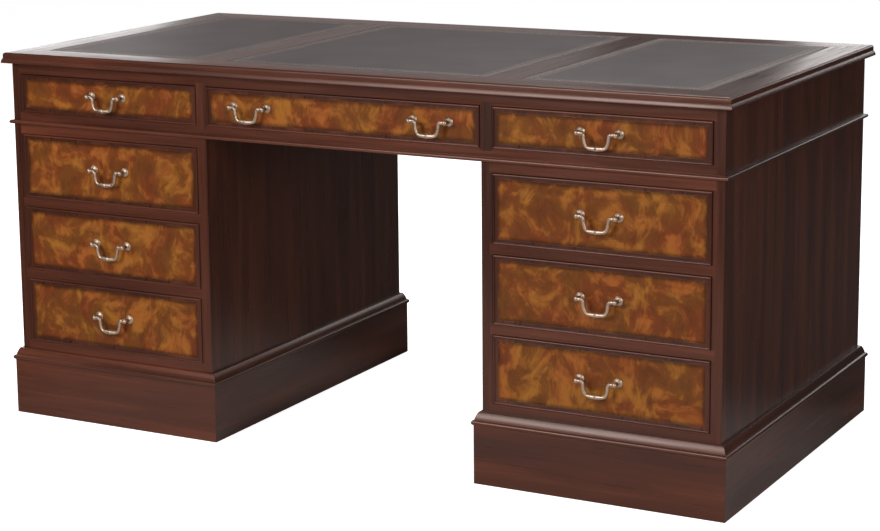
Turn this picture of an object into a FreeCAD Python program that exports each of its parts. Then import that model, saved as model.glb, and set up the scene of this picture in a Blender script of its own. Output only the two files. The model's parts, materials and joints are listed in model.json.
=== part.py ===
import FreeCAD, Part
import Sketcher
import os
import re

# Partners desk: a moulded top with three leather panels on a frieze of drawers, carried by
# two drawer pedestals. The sitter's side is -Y. Millimetres, +Z up, origin on the floor at
# the middle of the desk.

SIZES = [
    # top
    ("top_length", 1600, "top, left to right over the moulded edge"),
    ("top_depth", 820, "top, front to back over the moulded edge"),
    ("desk_height", 770, "floor to the top face"),
    ("top_thickness", 20, "top board"),
    ("top_overhang", 17, "top beyond the frieze, on every side"),
    ("top_edge_radius", 9, "rounding of the top's upper edge"),
    ("top_foot_radius", 5, "rounding of the top's lower edge"),
    ("leather_border", 72, "mahogany border outside the leather"),
    ("leather_strip", 62, "mahogany strip between two leather panels"),
    ("centre_leather_length", 584, "middle leather panel, left to right"),
    ("leather_thickness", 1.5, "leather, and the depth of its recess"),
    # frieze
    ("frieze_height", 129, "frieze, from the pedestals to the top"),
    ("frieze_top_rail", 24, "rail above the frieze drawers"),
    ("frieze_bottom_rail", 25, "rail below the frieze drawers"),
    ("frieze_divider", 24, "upright between two frieze drawers"),
    ("soffit_thickness", 6, "thin board under the frieze"),
    ("kicker_height", 12, "strip over a drawer side that stops it tipping"),
    ("bead_height", 8, "half round bead at the foot of the frieze"),
    ("bead_projection", 8, "bead beyond the frieze"),
    # pedestals
    ("pedestal_width", 478, "one pedestal, left to right"),
    ("side_thickness", 22, "pedestal sides and frieze ends"),
    ("rail_height", 19, "rail between two pedestal drawers"),
    ("pedestal_top_rail", 20, "rail above the pedestal drawers"),
    ("pedestal_bottom_rail", 43, "rail below the pedestal drawers"),
    ("rail_depth", 60, "rails and dividers, front to back"),
    ("housing_depth", 6, "how far rails and boards are let into the sides"),
    ("runner_width", 20, "strip that carries a drawer side"),
    ("partition_thickness", 12, "upright board between the two halves"),
    ("board_thickness", 10, "pedestal top and bottom boards"),
    ("cupboard_floor", 16, "cupboard floor board"),
    ("peg_radius", 6, "peg that locates the frieze on a pedestal"),
    ("peg_reach", 12, "peg into each of the two pieces it joins"),
    # plinths
    ("plinth_height", 115, "floor to the plinth moulding"),
    ("plinth_projection", 13, "plinth beyond the pedestal"),
    ("plinth_thickness", 28, "plinth board"),
    ("corner_block", 40, "glue block in each plinth corner"),
    ("moulding_height", 25, "plinth moulding"),
    ("moulding_projection", 17, "nose of the plinth moulding beyond the pedestal"),
    ("nose_height", 10, "half round nose of the plinth moulding"),
    ("ogee_projection", 10, "foot of the ogee over the nose, beyond the pedestal"),
    # drawers
    ("drawer_back_gap", 17, "drawer clear of the partition behind it"),
    ("front_thickness", 20, "drawer front and cupboard door"),
    ("drawer_side", 10, "drawer side"),
    ("drawer_back", 9, "drawer back"),
    ("drawer_bottom", 5, "drawer bottom"),
    ("bottom_rise", 9, "drawer bottom above the side's lower edge"),
    ("groove_depth", 5, "how far the bottom is let into sides and front"),
    ("back_drop", 8, "drawer back below the side's upper edge"),
    ("side_gap", 1, "drawer or door clear of its opening, each side"),
    ("top_gap", 1, "drawer or door clear of the rail above"),
    ("runner_gap", 0.3, "drawer or door clear of what carries it"),
    ("cockbead_thickness", 4, "bead round a drawer front"),
    ("cockbead_depth", 8, "bead, front to back"),
    ("cockbead_projection", 2.5, "bead beyond the drawer's face"),
    ("veneer_border", 6, "mahogany between the bead and the burr veneer"),
    ("veneer_thickness", 1, "burr veneer, let into the front flush"),
    ("dovetail_reach", 13, "lapped dovetail into the drawer front"),
    ("dovetail_pin", 11, "wood of the front between two dovetails"),
    ("dovetail_half_pin", 5, "wood of the front above and below the dovetails"),
    ("dovetail_slope", 7, "dovetail, one in this many"),
    ("stop_length", 40, "drawer stop block"),
    ("stop_width", 15, "drawer stop block, front to back"),
    ("stop_height", 6, "drawer stop block above its rail"),
    ("stop_inset", 70, "drawer stop from the end of its rail"),
    # swan-neck pulls
    ("post_spacing", 76, "between the two posts of a pull"),
    ("post_rise", 4, "posts above the middle of the drawer front"),
    ("centre_pull_offset", 200, "middle of each pull on a centre drawer"),
    ("post_ball_radius", 8.5, "ball of a post"),
    ("post_stand_off", 17, "middle of the ball in front of the drawer"),
    ("post_rose_radius", 7, "rose at the foot of a post"),
    ("post_neck_radius", 3.8, "neck between rose and ball"),
    ("pin_clearance", 0.05, "radial clearance of a bail end or a hinge pin"),
    ("bail_entry", 5.5, "bail end inside the ball"),
    ("bail_drop", 28, "middle of the grip below the pivot"),
    ("bail_half_width", 22.5, "middle of a bail arm from the pull's middle"),
    ("bail_bend", 5, "bend between an arm and the grip"),
    ("bail_radius", 2.5, "bail arm"),
    ("grip_radius", 3.8, "thick middle of the bail"),
    # cupboard doors
    ("door_stile", 52, "door stile and rail, across the grain"),
    ("door_panel", 8, "burr panel"),
    ("door_panel_setback", 5, "panel behind the door's face"),
    ("panel_groove", 8, "how far the panel is let into its frame"),
    ("tenon_length", 30, "door rail tenon"),
    ("tenon_thickness", 7, "door rail tenon"),
    ("knob_radius", 11, "brass door knob"),
    ("knob_reach", 24, "door knob in front of the door"),
    ("hinge_length", 50, "butt hinge"),
    ("hinge_leaf", 28, "hinge leaf let into the wood, front to back"),
    ("leaf_thickness", 1.8, "hinge leaf"),
    ("knuckle_radius", 3, "hinge barrel"),
    ("hinge_pin_radius", 1.4, "hinge pin"),
    ("hinge_inset", 60, "middle of a hinge from the door's end"),
    ("knuckle_gap", 0.2, "between two knuckles, and between barrel and wood"),
]

FACETS = 6  # flat sides of a cast, turned or whittled round section
DRAWER_ROWS = 3  # drawers in a pedestal

doc = FreeCAD.newDocument("partners_desk")
sheet = doc.addObject("Spreadsheet::Sheet", "Sizes")
for row, (alias, value, note) in enumerate(SIZES, start=1):
    sheet.set(f"A{row}", note)
    sheet.set(f"B{row}", str(value))
    sheet.setAlias(f"B{row}", alias)
doc.recompute()

ALIASES = {alias for alias, value, note in SIZES}
WORD = re.compile(r"[a-z_]+")


def with_sheet(expression):
    """Turns the sheet's aliases in an expression into references to its cells."""

    def refer(match):
        word = match.group()
        return f"Sizes.{word}" if word in ALIASES else word

    return WORD.sub(refer, str(expression))


def bind(obj, prop, expression):
    obj.setExpression(prop, with_sheet(expression))


def place(obj, x="0", y="0", z="0", axis=(0, 0, 1), turn=0):
    """Puts an object at an expression's place, turned by a fixed angle."""
    rotation = FreeCAD.Rotation(FreeCAD.Vector(*axis), turn)
    obj.Placement = FreeCAD.Placement(FreeCAD.Vector(0, 0, 0), rotation)
    for letter, expression in zip("xyz", (x, y, z)):
        bind(obj, f"Placement.Base.{letter}", expression)
    return obj


# ---------------------------------------------------------------- basic pieces


def board(name, x, y, z):
    """A board between three pairs of planes, each pair low then high."""
    box = doc.addObject("Part::Box", name)
    for size, letter, (low, high) in zip(("Length", "Width", "Height"), "xyz", (x, y, z)):
        bind(box, size, f"({high}) - ({low})")
        bind(box, f"Placement.Base.{letter}", low)
    return box


def rod(name, radius, length, x="0", y="0", z="0", axis=(0, 0, 1), turn=0):
    cylinder = doc.addObject("Part::Cylinder", name)
    bind(cylinder, "Radius", radius)
    bind(cylinder, "Height", length)
    return place(cylinder, x, y, z, axis, turn)


def prism(name, radius, length, x="0", y="0", z="0", axis=(0, 0, 1), turn=0):
    """A bar with flat sides, with its radius over the corners."""
    bar = doc.addObject("Part::Prism", name)
    bar.Polygon = FACETS
    bind(bar, "Circumradius", radius)
    bind(bar, "Height", length)
    return place(bar, x, y, z, axis, turn)


def bore(name, radius, length, x="0", y="0", z="0", axis=(0, 0, 1), turn=0):
    """A bore with flat sides in which a bar of this radius over its corners turns freely."""
    clear = f"({radius} + pin_clearance) / cos(180 / {FACETS})"
    return prism(name, clear, length, x, y, z, axis, turn)


def compound(name, pieces):
    group = doc.addObject("Part::Compound", name)
    group.Links = pieces
    return group


def join(name, pieces):
    fused = doc.addObject("Part::MultiFuse", name)
    fused.Shapes = pieces
    return fused


def cut(name, base, tools):
    tool = tools[0] if len(tools) == 1 else compound(f"{name}_tools", tools)
    result = doc.addObject("Part::Cut", name)
    result.Base = base
    result.Tool = tool
    return result


def about(middle, size):
    """The pair of planes that holds a size centred on a middle."""
    return (f"({middle}) - ({size}) / 2", f"({middle}) + ({size}) / 2")


def outward(side, near, far):
    """The pair of planes from near to far on the negative or positive side."""
    return (f"-({far})", f"-({near})") if side < 0 else (near, far)


def wedge(name, wide_x, wide_z, narrow_x, narrow_z, y):
    """A block that tapers from its wide face at the low y to its narrow face at the high y."""
    block = doc.addObject("Part::Wedge", name)
    bind(block, "Ymin", y[0])
    bind(block, "Ymax", y[1])
    bind(block, "Xmin", wide_x[0])
    bind(block, "Xmax", wide_x[1])
    bind(block, "Zmin", wide_z[0])
    bind(block, "Zmax", wide_z[1])
    bind(block, "X2min", narrow_x[0])
    bind(block, "X2max", narrow_x[1])
    bind(block, "Z2min", narrow_z[0])
    bind(block, "Z2max", narrow_z[1])
    return block


def mitred(name, length, depth, z):
    """A length of wood with mitred ends, its long face at y = 0 and its short one at y = depth."""
    outer = about("0", length)
    inner = about("0", f"({length}) - 2 * ({depth})")
    return wedge(name, outer, z, inner, z, ("0", depth))


def polygon_loft(name, sections, sides=FACETS):
    """A faceted bar through regular sections, each (radius, x, y, z, axis, turn)."""
    wires = []
    for number, (radius, x, y, z, axis, turn) in enumerate(sections):
        wire = doc.addObject("Part::RegularPolygon", f"{name}_section_{number}")
        wire.Polygon = sides
        bind(wire, "Circumradius", radius)
        wires.append(place(wire, x, y, z, axis, turn))
    loft = doc.addObject("Part::Loft", name)
    loft.Sections = wires
    loft.Solid = True
    loft.Ruled = True
    loft.Linearize = True
    return loft


NODES = []


def node(name, pieces, x="0", y="0", z="0", turn=0):
    """A finished sub-part: its pieces as separate solids, under one label and placement."""
    group = compound(f"{name}_node", pieces)
    group.Label = name
    place(group, x, y, z, turn=turn)
    NODES.append(group)
    return group


# ---------------------------------------------------------------- shared places

HALF_LENGTH = "(top_length / 2 - top_overhang)"
HALF_DEPTH = "(top_depth / 2 - top_overhang)"
TOP_UNDERSIDE = "(desk_height - top_thickness)"
FRIEZE_FOOT = f"({TOP_UNDERSIDE} - frieze_height)"
OPENING_EDGE = f"({HALF_LENGTH} - side_thickness)"
PEDESTAL_INNER = f"({HALF_LENGTH} - pedestal_width)"
OPENING_INNER = f"({PEDESTAL_INNER} + side_thickness)"
OPENING_WIDTH = "(pedestal_width - 2 * side_thickness)"
PEDESTAL_MIDDLE = f"({HALF_LENGTH} - pedestal_width / 2)"
RAIL_BACK = f"({HALF_DEPTH} - rail_depth)"
HALF_PARTITION = "(partition_thickness / 2)"
DRAWER_LENGTH = f"({HALF_DEPTH} - {HALF_PARTITION} - drawer_back_gap)"

FRIEZE_OPENING_FOOT = f"({FRIEZE_FOOT} + frieze_bottom_rail)"
FRIEZE_OPENING_HEAD = f"({TOP_UNDERSIDE} - frieze_top_rail)"
FRIEZE_OPENING = f"({FRIEZE_OPENING_HEAD} - {FRIEZE_OPENING_FOOT})"
DIVIDER_INNER = f"({OPENING_INNER} - frieze_divider)"
CENTRE_OPENING = f"(2 * {DIVIDER_INNER})"

CARCASS_FOOT = "plinth_height"
LOWEST_OPENING = f"({CARCASS_FOOT} + pedestal_bottom_rail)"
PEDESTAL_OPENING_HEAD = f"({FRIEZE_FOOT} - pedestal_top_rail)"
STACK = f"({PEDESTAL_OPENING_HEAD} - {LOWEST_OPENING})"
PEDESTAL_OPENING = f"(({STACK} - {DRAWER_ROWS - 1} * rail_height) / {DRAWER_ROWS})"


def opening_foot(row):
    """Height of the rail that carries a pedestal drawer; row 0 is the lowest."""
    return f"({LOWEST_OPENING} + {row} * ({PEDESTAL_OPENING} + rail_height))"


# ---------------------------------------------------------------- top


def plane_of(body, role):
    return next(p for p in body.Origin.OriginFeatures if p.Role == role)


def rectangle(sketch, x, y, tag):
    """Adds a rectangle between two pairs of expressions, each of its sides tied to the origin."""
    first = sketch.GeometryCount
    corners = [(0, 0), (10, 0), (10, 10), (0, 10)]
    for start, end in zip(corners, corners[1:] + corners[:1]):
        line = Part.LineSegment(FreeCAD.Vector(*start, 0), FreeCAD.Vector(*end, 0))
        sketch.addGeometry(line, False)
    for corner in range(4):
        following = first + (corner + 1) % 4
        sketch.addConstraint(Sketcher.Constraint("Coincident", first + corner, 2, following, 1))
    for side, kind in enumerate(("Horizontal", "Vertical", "Horizontal", "Vertical")):
        sketch.addConstraint(Sketcher.Constraint(kind, first + side))
    for name, kind, side, expression in (
        ("left", "DistanceX", 3, x[0]),
        ("right", "DistanceX", 1, x[1]),
        ("low", "DistanceY", 0, y[0]),
        ("high", "DistanceY", 2, y[1]),
    ):
        index = sketch.addConstraint(Sketcher.Constraint(kind, -1, 1, first + side, 1, 1.0))
        sketch.renameConstraint(index, f"{tag}_{name}")
        bind(sketch, f"Constraints.{tag}_{name}", expression)


def sketch_on(body, name, role, offset="0"):
    sketch = body.newObject("Sketcher::SketchObject", name)
    sketch.AttachmentSupport = (plane_of(body, role), [""])
    sketch.MapMode = "FlatFace"
    bind(sketch, "AttachmentOffset.Base.z", offset)
    return sketch


LEATHER_FOOT = "(desk_height - leather_thickness)"
LEATHER_DEPTH = about("0", "top_depth - 2 * leather_border")
SIDE_LEATHER_NEAR = "(centre_leather_length / 2 + leather_strip)"
SIDE_LEATHER_FAR = "(top_length / 2 - leather_border)"
LEATHERS = {
    "leather_left": outward(-1, SIDE_LEATHER_NEAR, SIDE_LEATHER_FAR),
    "leather_centre": about("0", "centre_leather_length"),
    "leather_right": outward(1, SIDE_LEATHER_NEAR, SIDE_LEATHER_FAR),
}


def make_top():
    """The mahogany top: rounded over above and below, with a shallow recess for each leather."""
    body = doc.addObject("PartDesign::Body", "desk_top_body")
    outline = sketch_on(body, "top_outline", "XY_Plane", TOP_UNDERSIDE)
    rectangle(outline, about("0", "top_length"), about("0", "top_depth"), "top")
    slab = body.newObject("PartDesign::Pad", "top_slab")
    slab.Profile = outline
    bind(slab, "Length", "top_thickness")
    doc.recompute()

    def round_over(name, base, level, radius):
        """Rounds every edge of the solid that lies wholly at one level."""
        rim = [
            f"Edge{number}"
            for number, edge in enumerate(base.Shape.Edges, start=1)
            if max(abs(edge.BoundBox.ZMin - level), abs(edge.BoundBox.ZMax - level)) < 1e-6
        ]
        rounding = body.newObject("PartDesign::Fillet", name)
        rounding.Base = (base, rim)
        bind(rounding, "Radius", radius)
        doc.recompute()
        return rounding

    upper = round_over("upper_rounding", slab, slab.Shape.BoundBox.ZMax, "top_edge_radius")
    edge = round_over("lower_rounding", upper, slab.Shape.BoundBox.ZMin, "top_foot_radius")

    recesses = sketch_on(body, "leather_recesses", "XY_Plane", "desk_height")
    for name, x in LEATHERS.items():
        rectangle(recesses, x, LEATHER_DEPTH, name)
    recess = body.newObject("PartDesign::Pocket", "leather_recess")
    recess.Profile = recesses
    bind(recess, "Length", "leather_thickness")
    doc.recompute()
    if recess.Shape.Volume >= edge.Shape.Volume:
        raise RuntimeError("the leather recesses cut nothing")

    node("desk_top", [body])
    for name, x in LEATHERS.items():
        panel = board(f"{name}_panel", x, LEATHER_DEPTH, (LEATHER_FOOT, "desk_height"))
        node(name, [panel])


# ---------------------------------------------------------------- frieze


def let_in(low, high):
    """The pair of planes of a board that is let into the sides at both of its ends."""
    return (f"({low}) - housing_depth", f"({high}) + housing_depth")


def make_frieze():
    """Rails, dividers and runners between two ends, with a drawer space on each side."""
    across = (f"-{OPENING_EDGE}", OPENING_EDGE)
    let_in_across = let_in(*across)
    frame, inner, stops, pegs = [], [], [], []

    spine = board(
        "frieze_spine",
        let_in_across,
        about("0", "partition_thickness"),
        (f"{FRIEZE_FOOT} + soffit_thickness", TOP_UNDERSIDE),
    )
    inner.append(spine)
    soffit = board(
        "frieze_soffit",
        across,
        (f"-{RAIL_BACK}", RAIL_BACK),
        (FRIEZE_FOOT, f"{FRIEZE_FOOT} + soffit_thickness"),
    )
    inner.append(soffit)

    for face, tag in ((-1, "front"), (1, "rear")):
        rail_y = outward(face, RAIL_BACK, HALF_DEPTH)
        dividers = []
        for hand, side in ((-1, "left"), (1, "right")):
            dividers.append(
                board(
                    f"frieze_{tag}_divider_{side}",
                    outward(hand, DIVIDER_INNER, OPENING_INNER),
                    rail_y,
                    let_in(FRIEZE_OPENING_FOOT, FRIEZE_OPENING_HEAD),
                )
            )
        top_rail = board(
            f"frieze_{tag}_top_board",
            let_in_across,
            rail_y,
            (FRIEZE_OPENING_HEAD, TOP_UNDERSIDE),
        )
        low_rail = board(
            f"frieze_{tag}_bottom_board", let_in_across, rail_y, (FRIEZE_FOOT, FRIEZE_OPENING_FOOT)
        )
        locating = []
        for hand, side in ((-1, "left"), (1, "right")):
            locating.append(make_peg(f"frieze_peg_{tag}_{side}", hand, face))
        frame.append(cut(f"frieze_{tag}_top_rail", top_rail, dividers))
        frame.append(cut(f"frieze_{tag}_bottom_rail", low_rail, dividers + locating))
        frame.extend(dividers)
        pegs.extend(locating)

        inside_y = outward(face, HALF_PARTITION, RAIL_BACK)
        runner_z = (f"{FRIEZE_FOOT} + soffit_thickness", FRIEZE_OPENING_FOOT)
        kicker_z = (FRIEZE_OPENING_HEAD, f"{FRIEZE_OPENING_HEAD} + kicker_height")
        for hand, side in ((-1, "left"), (1, "right")):
            place_name = f"frieze_{tag}_{side}"
            end_x = outward(hand, f"{OPENING_EDGE} - runner_width", OPENING_EDGE)
            middle_x = outward(
                hand, f"{DIVIDER_INNER} - runner_width", f"{OPENING_INNER} + runner_width"
            )
            guide_x = outward(hand, DIVIDER_INNER, OPENING_INNER)
            outer_x = outward(hand, OPENING_INNER, f"{OPENING_INNER} + runner_width")
            centre_x = outward(hand, f"{DIVIDER_INNER} - runner_width", DIVIDER_INNER)
            inner.append(board(f"{place_name}_end_runner", end_x, inside_y, runner_z))
            inner.append(board(f"{place_name}_middle_runner", middle_x, inside_y, runner_z))
            inner.append(
                board(
                    f"{place_name}_guide", guide_x, inside_y, (FRIEZE_OPENING_FOOT, TOP_UNDERSIDE)
                )
            )
            for number, kicker_x in enumerate((end_x, outer_x, centre_x)):
                inner.append(
                    board(f"{place_name}_kicker_{number}", kicker_x, inside_y, kicker_z)
                )

        for middle, width, side in (
            (f"-{PEDESTAL_MIDDLE}", OPENING_WIDTH, "left"),
            ("0", CENTRE_OPENING, "centre"),
            (PEDESTAL_MIDDLE, OPENING_WIDTH, "right"),
        ):
            stops += make_stops(f"frieze_{tag}_{side}", middle, width, FRIEZE_OPENING_FOOT, face)

    ends = []
    for hand, side in ((-1, "left"), (1, "right")):
        panel = board(
            f"frieze_end_board_{side}",
            outward(hand, OPENING_EDGE, HALF_LENGTH),
            (f"-{HALF_DEPTH}", HALF_DEPTH),
            (FRIEZE_FOOT, TOP_UNDERSIDE),
        )
        ends.append(cut(f"frieze_end_{side}", panel, frame[0:2] + frame[4:6] + [spine]))

    node("frieze_ends", ends)
    node("frieze_rails_and_dividers", frame)
    node("frieze_runners", inner + stops)
    return pegs


def make_peg(name, hand, face):
    """A peg at the middle of a pedestal's rail, half in the pedestal and half in the frieze."""
    x = f"{hand} * {PEDESTAL_MIDDLE}"
    y = f"{face} * ({HALF_DEPTH} - rail_depth / 2)"
    return prism(name, "peg_radius", "2 * peg_reach", x, y, f"{FRIEZE_FOOT} - peg_reach")


def make_stops(tag, middle, width, foot, face):
    """Two blocks glued on a rail, against which the drawer front comes to rest."""
    near = f"{HALF_DEPTH} - front_thickness - runner_gap - stop_width"
    y = outward(face, near, f"{near} + stop_width")
    stops = []
    for hand, side in ((-1, "left"), (1, "right")):
        block = about(f"{middle} + {hand} * ({width} / 2 - stop_inset)", "stop_length")
        stops.append(board(f"{tag}_stop_{side}", block, y, (foot, f"{foot} + stop_height")))
    return stops


def make_bead():
    """A half round bead mitred round the foot of the frieze."""
    z = (FRIEZE_FOOT, f"{FRIEZE_FOOT} + bead_height")
    lengths = []
    for tag, half_run, half_other, turn in (
        ("front", HALF_LENGTH, HALF_DEPTH, 0),
        ("right", HALF_DEPTH, HALF_LENGTH, 90),
        ("rear", HALF_LENGTH, HALF_DEPTH, 180),
        ("left", HALF_DEPTH, HALF_LENGTH, 270),
    ):
        length = f"2 * ({half_run} + bead_projection)"
        block = mitred(f"bead_{tag}_mitre", length, "bead_projection", z)
        flat = board(f"bead_{tag}_flat", about("0", length), ("bead_height / 2", "bead_projection"), z)
        nose = rod(
            f"bead_{tag}_nose",
            "bead_height / 2",
            length,
            f"-({length}) / 2",
            "bead_height / 2",
            f"{FRIEZE_FOOT} + bead_height / 2",
            axis=(0, 1, 0),
            turn=90,
        )
        lengths.append(mitred_length(f"bead_{tag}", block, [flat, nose]))
        place_round(lengths[-1], turn, "0", "0", f"{half_other} + bead_projection")
    node("frieze_bead", lengths)


def mitred_length(name, block, members):
    """A moulding: the members of its profile joined, then trimmed to a mitred block."""
    run = join(f"{name}_run", members)
    length = doc.addObject("Part::MultiCommon", name)
    length.Shapes = [run, block]
    return length


def place_round(piece, turn, x, y, reach):
    """Turns a length about Z and sets its long face at a distance from a middle."""
    step = {0: (0, -1), 90: (1, 0), 180: (0, 1), 270: (-1, 0)}[turn]
    place(piece, f"{x} + {step[0]} * ({reach})", f"{y} + {step[1]} * ({reach})", "0", turn=turn)


# ---------------------------------------------------------------- pedestals


def make_pedestal(hand, side, pegs):
    """Two sides joined by rails, runners and boards: drawers in front, a cupboard behind."""
    middle = f"{hand} * {PEDESTAL_MIDDLE}"
    clear = about(middle, OPENING_WIDTH)
    housed = let_in(*clear)
    rails, boards, loose = [], [], []

    for face, tag in ((-1, "front"), (1, "rear")):
        rail_y = outward(face, RAIL_BACK, HALF_DEPTH)
        rails.append(
            board(f"{side}_{tag}_bottom_rail", housed, rail_y, (CARCASS_FOOT, LOWEST_OPENING))
        )
        upper = board(
            f"{side}_{tag}_top_board", housed, rail_y, (PEDESTAL_OPENING_HEAD, FRIEZE_FOOT)
        )
        peg = next(p for p in pegs if p.Name == f"frieze_peg_{tag}_{side}")
        rails.append(cut(f"{side}_{tag}_top_rail", upper, [peg]))
        loose.append(peg)
    for row in range(1, DRAWER_ROWS):
        z = (f"{opening_foot(row)} - rail_height", opening_foot(row))
        rail_y = outward(-1, RAIL_BACK, HALF_DEPTH)
        rails.append(board(f"{side}_rail_{row}", housed, rail_y, z))

    inside = (f"-{RAIL_BACK}", RAIL_BACK)
    top_foot = f"({FRIEZE_FOOT} - board_thickness)"
    bottom_head = f"({CARCASS_FOOT} + board_thickness)"
    boards.append(board(f"{side}_top_dust_board", housed, inside, (top_foot, FRIEZE_FOOT)))
    boards.append(board(f"{side}_bottom_board", housed, inside, (CARCASS_FOOT, bottom_head)))
    partition_y = about("0", "partition_thickness")
    boards.append(board(f"{side}_partition", housed, partition_y, (bottom_head, top_foot)))
    rear_inside = outward(1, HALF_PARTITION, RAIL_BACK)
    floor_z = (f"{LOWEST_OPENING} - cupboard_floor", LOWEST_OPENING)
    boards.append(board(f"{side}_cupboard_floor", housed, rear_inside, floor_z))

    runner_y = outward(-1, HALF_PARTITION, RAIL_BACK)
    for end, (low, high) in (
        ("inner", (clear[0], f"{clear[0]} + runner_width")),
        ("outer", (f"{clear[1]} - runner_width", clear[1])),
    ):
        for row in range(DRAWER_ROWS):
            z = (f"{opening_foot(row)} - rail_height", opening_foot(row))
            loose.append(board(f"{side}_{end}_runner_{row}", (low, high), runner_y, z))
        loose.append(
            board(f"{side}_{end}_kicker", (low, high), runner_y, (PEDESTAL_OPENING_HEAD, top_foot))
        )
    for row in range(DRAWER_ROWS):
        loose += make_stops(f"{side}_row_{row}", middle, OPENING_WIDTH, opening_foot(row), -1)
    loose += make_stops(f"{side}_door", middle, OPENING_WIDTH, LOWEST_OPENING, 1)

    sides = []
    for end, x in (
        ("inner", outward(hand, PEDESTAL_INNER, OPENING_INNER)),
        ("outer", outward(hand, OPENING_EDGE, HALF_LENGTH)),
    ):
        panel = board(
            f"{side}_{end}_board", x, (f"-{HALF_DEPTH}", HALF_DEPTH), (CARCASS_FOOT, FRIEZE_FOOT)
        )
        tools = rails + boards
        if end == "outer":
            tools = tools + [hinge_pocket(side, hand, place_name) for place_name in HINGE_PLACES]
        sides.append(cut(f"{side}_{end}_side", panel, tools))

    node(f"{side}_pedestal_sides", sides)
    node(f"{side}_pedestal_frames", rails + boards + loose)


def make_plinth(hand, side):
    """Four mitred boards with a glue block in each corner."""
    middle = f"{hand} * {PEDESTAL_MIDDLE}"
    half_x = "(pedestal_width / 2 + plinth_projection)"
    half_y = f"({HALF_DEPTH} + plinth_projection)"
    pieces = []
    for tag, half_run, half_other, turn in (
        ("front", half_x, half_y, 0),
        ("right", half_y, half_x, 90),
        ("rear", half_x, half_y, 180),
        ("left", half_y, half_x, 270),
    ):
        wood = mitred(
            f"{side}_plinth_{tag}", f"2 * {half_run}", "plinth_thickness", ("0", "plinth_height")
        )
        place_round(wood, turn, middle, "0", half_other)
        pieces.append(wood)
    inner_x = f"({half_x} - plinth_thickness)"
    inner_y = f"({half_y} - plinth_thickness)"
    for x_sign in (-1, 1):
        for y_sign in (-1, 1):
            low_x, high_x = outward(x_sign, f"{inner_x} - corner_block", inner_x)
            block = board(
                f"{side}_plinth_block_{x_sign + 1}_{y_sign + 1}",
                (f"{middle} + {low_x}", f"{middle} + {high_x}"),
                outward(y_sign, f"{inner_y} - corner_block", inner_y),
                ("0", "plinth_height"),
            )
            pieces.append(block)
    node(f"{side}_plinth", pieces)


def make_plinth_moulding():
    """Mitred lengths of moulding round both pedestals: over a half round nose stands an ogee, its
    hollow above and its round below, two arcs of one radius that meet halfway."""
    pieces = []
    half_x = "(pedestal_width / 2)"
    nose_radius = "nose_height / 2"
    nose_middle = f"{CARCASS_FOOT} + nose_height / 2"
    z = (CARCASS_FOOT, f"{CARCASS_FOOT} + moulding_height")
    rise = "(moulding_height - nose_height)"
    radius = f"((ogee_projection ^ 2 + {rise} ^ 2) / (4 * ogee_projection))"
    round_y = f"(moulding_projection - ogee_projection + {radius})"
    hollow_y = f"(moulding_projection - {radius})"
    meeting_y = "(moulding_projection - ogee_projection / 2)"
    for hand, side in ((-1, "left"), (1, "right")):
        middle = f"{hand} * {PEDESTAL_MIDDLE}"
        for tag, half_run, half_other, turn in (
            ("front", half_x, HALF_DEPTH, 0),
            ("right", HALF_DEPTH, half_x, 90),
            ("rear", half_x, HALF_DEPTH, 180),
            ("left", HALF_DEPTH, half_x, 270),
        ):
            name = f"{side}_moulding_{tag}"
            length = f"2 * ({half_run} + moulding_projection)"
            start = f"-({length}) / 2"
            block = mitred(f"{name}_mitre", length, "moulding_projection", z)
            run = about("0", length)
            nose_z = (z[0], f"{z[0]} + nose_height")
            fillet = board(f"{name}_fillet", run, (nose_radius, "moulding_projection"), nose_z)
            nose = rod(
                f"{name}_nose", nose_radius, length, start, nose_radius, nose_middle,
                axis=(0, 1, 0), turn=90,
            )
            lower = rod(
                f"{name}_round", radius, length, start, round_y, nose_z[1], axis=(0, 1, 0), turn=90
            )
            blank = board(
                f"{name}_blank", run, (meeting_y, "moulding_projection"), (nose_z[1], z[1])
            )
            hollow = rod(
                f"{name}_hollow", radius, length, start, hollow_y, z[1], axis=(0, 1, 0), turn=90
            )
            upper = cut(f"{name}_upper", blank, [hollow])
            piece = mitred_length(name, block, [fillet, nose, lower, upper])
            place_round(piece, turn, middle, "0", f"{half_other} + moulding_projection")
            pieces.append(piece)
    node("plinth_mouldings", pieces)


# ---------------------------------------------------------------- drawers


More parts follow.
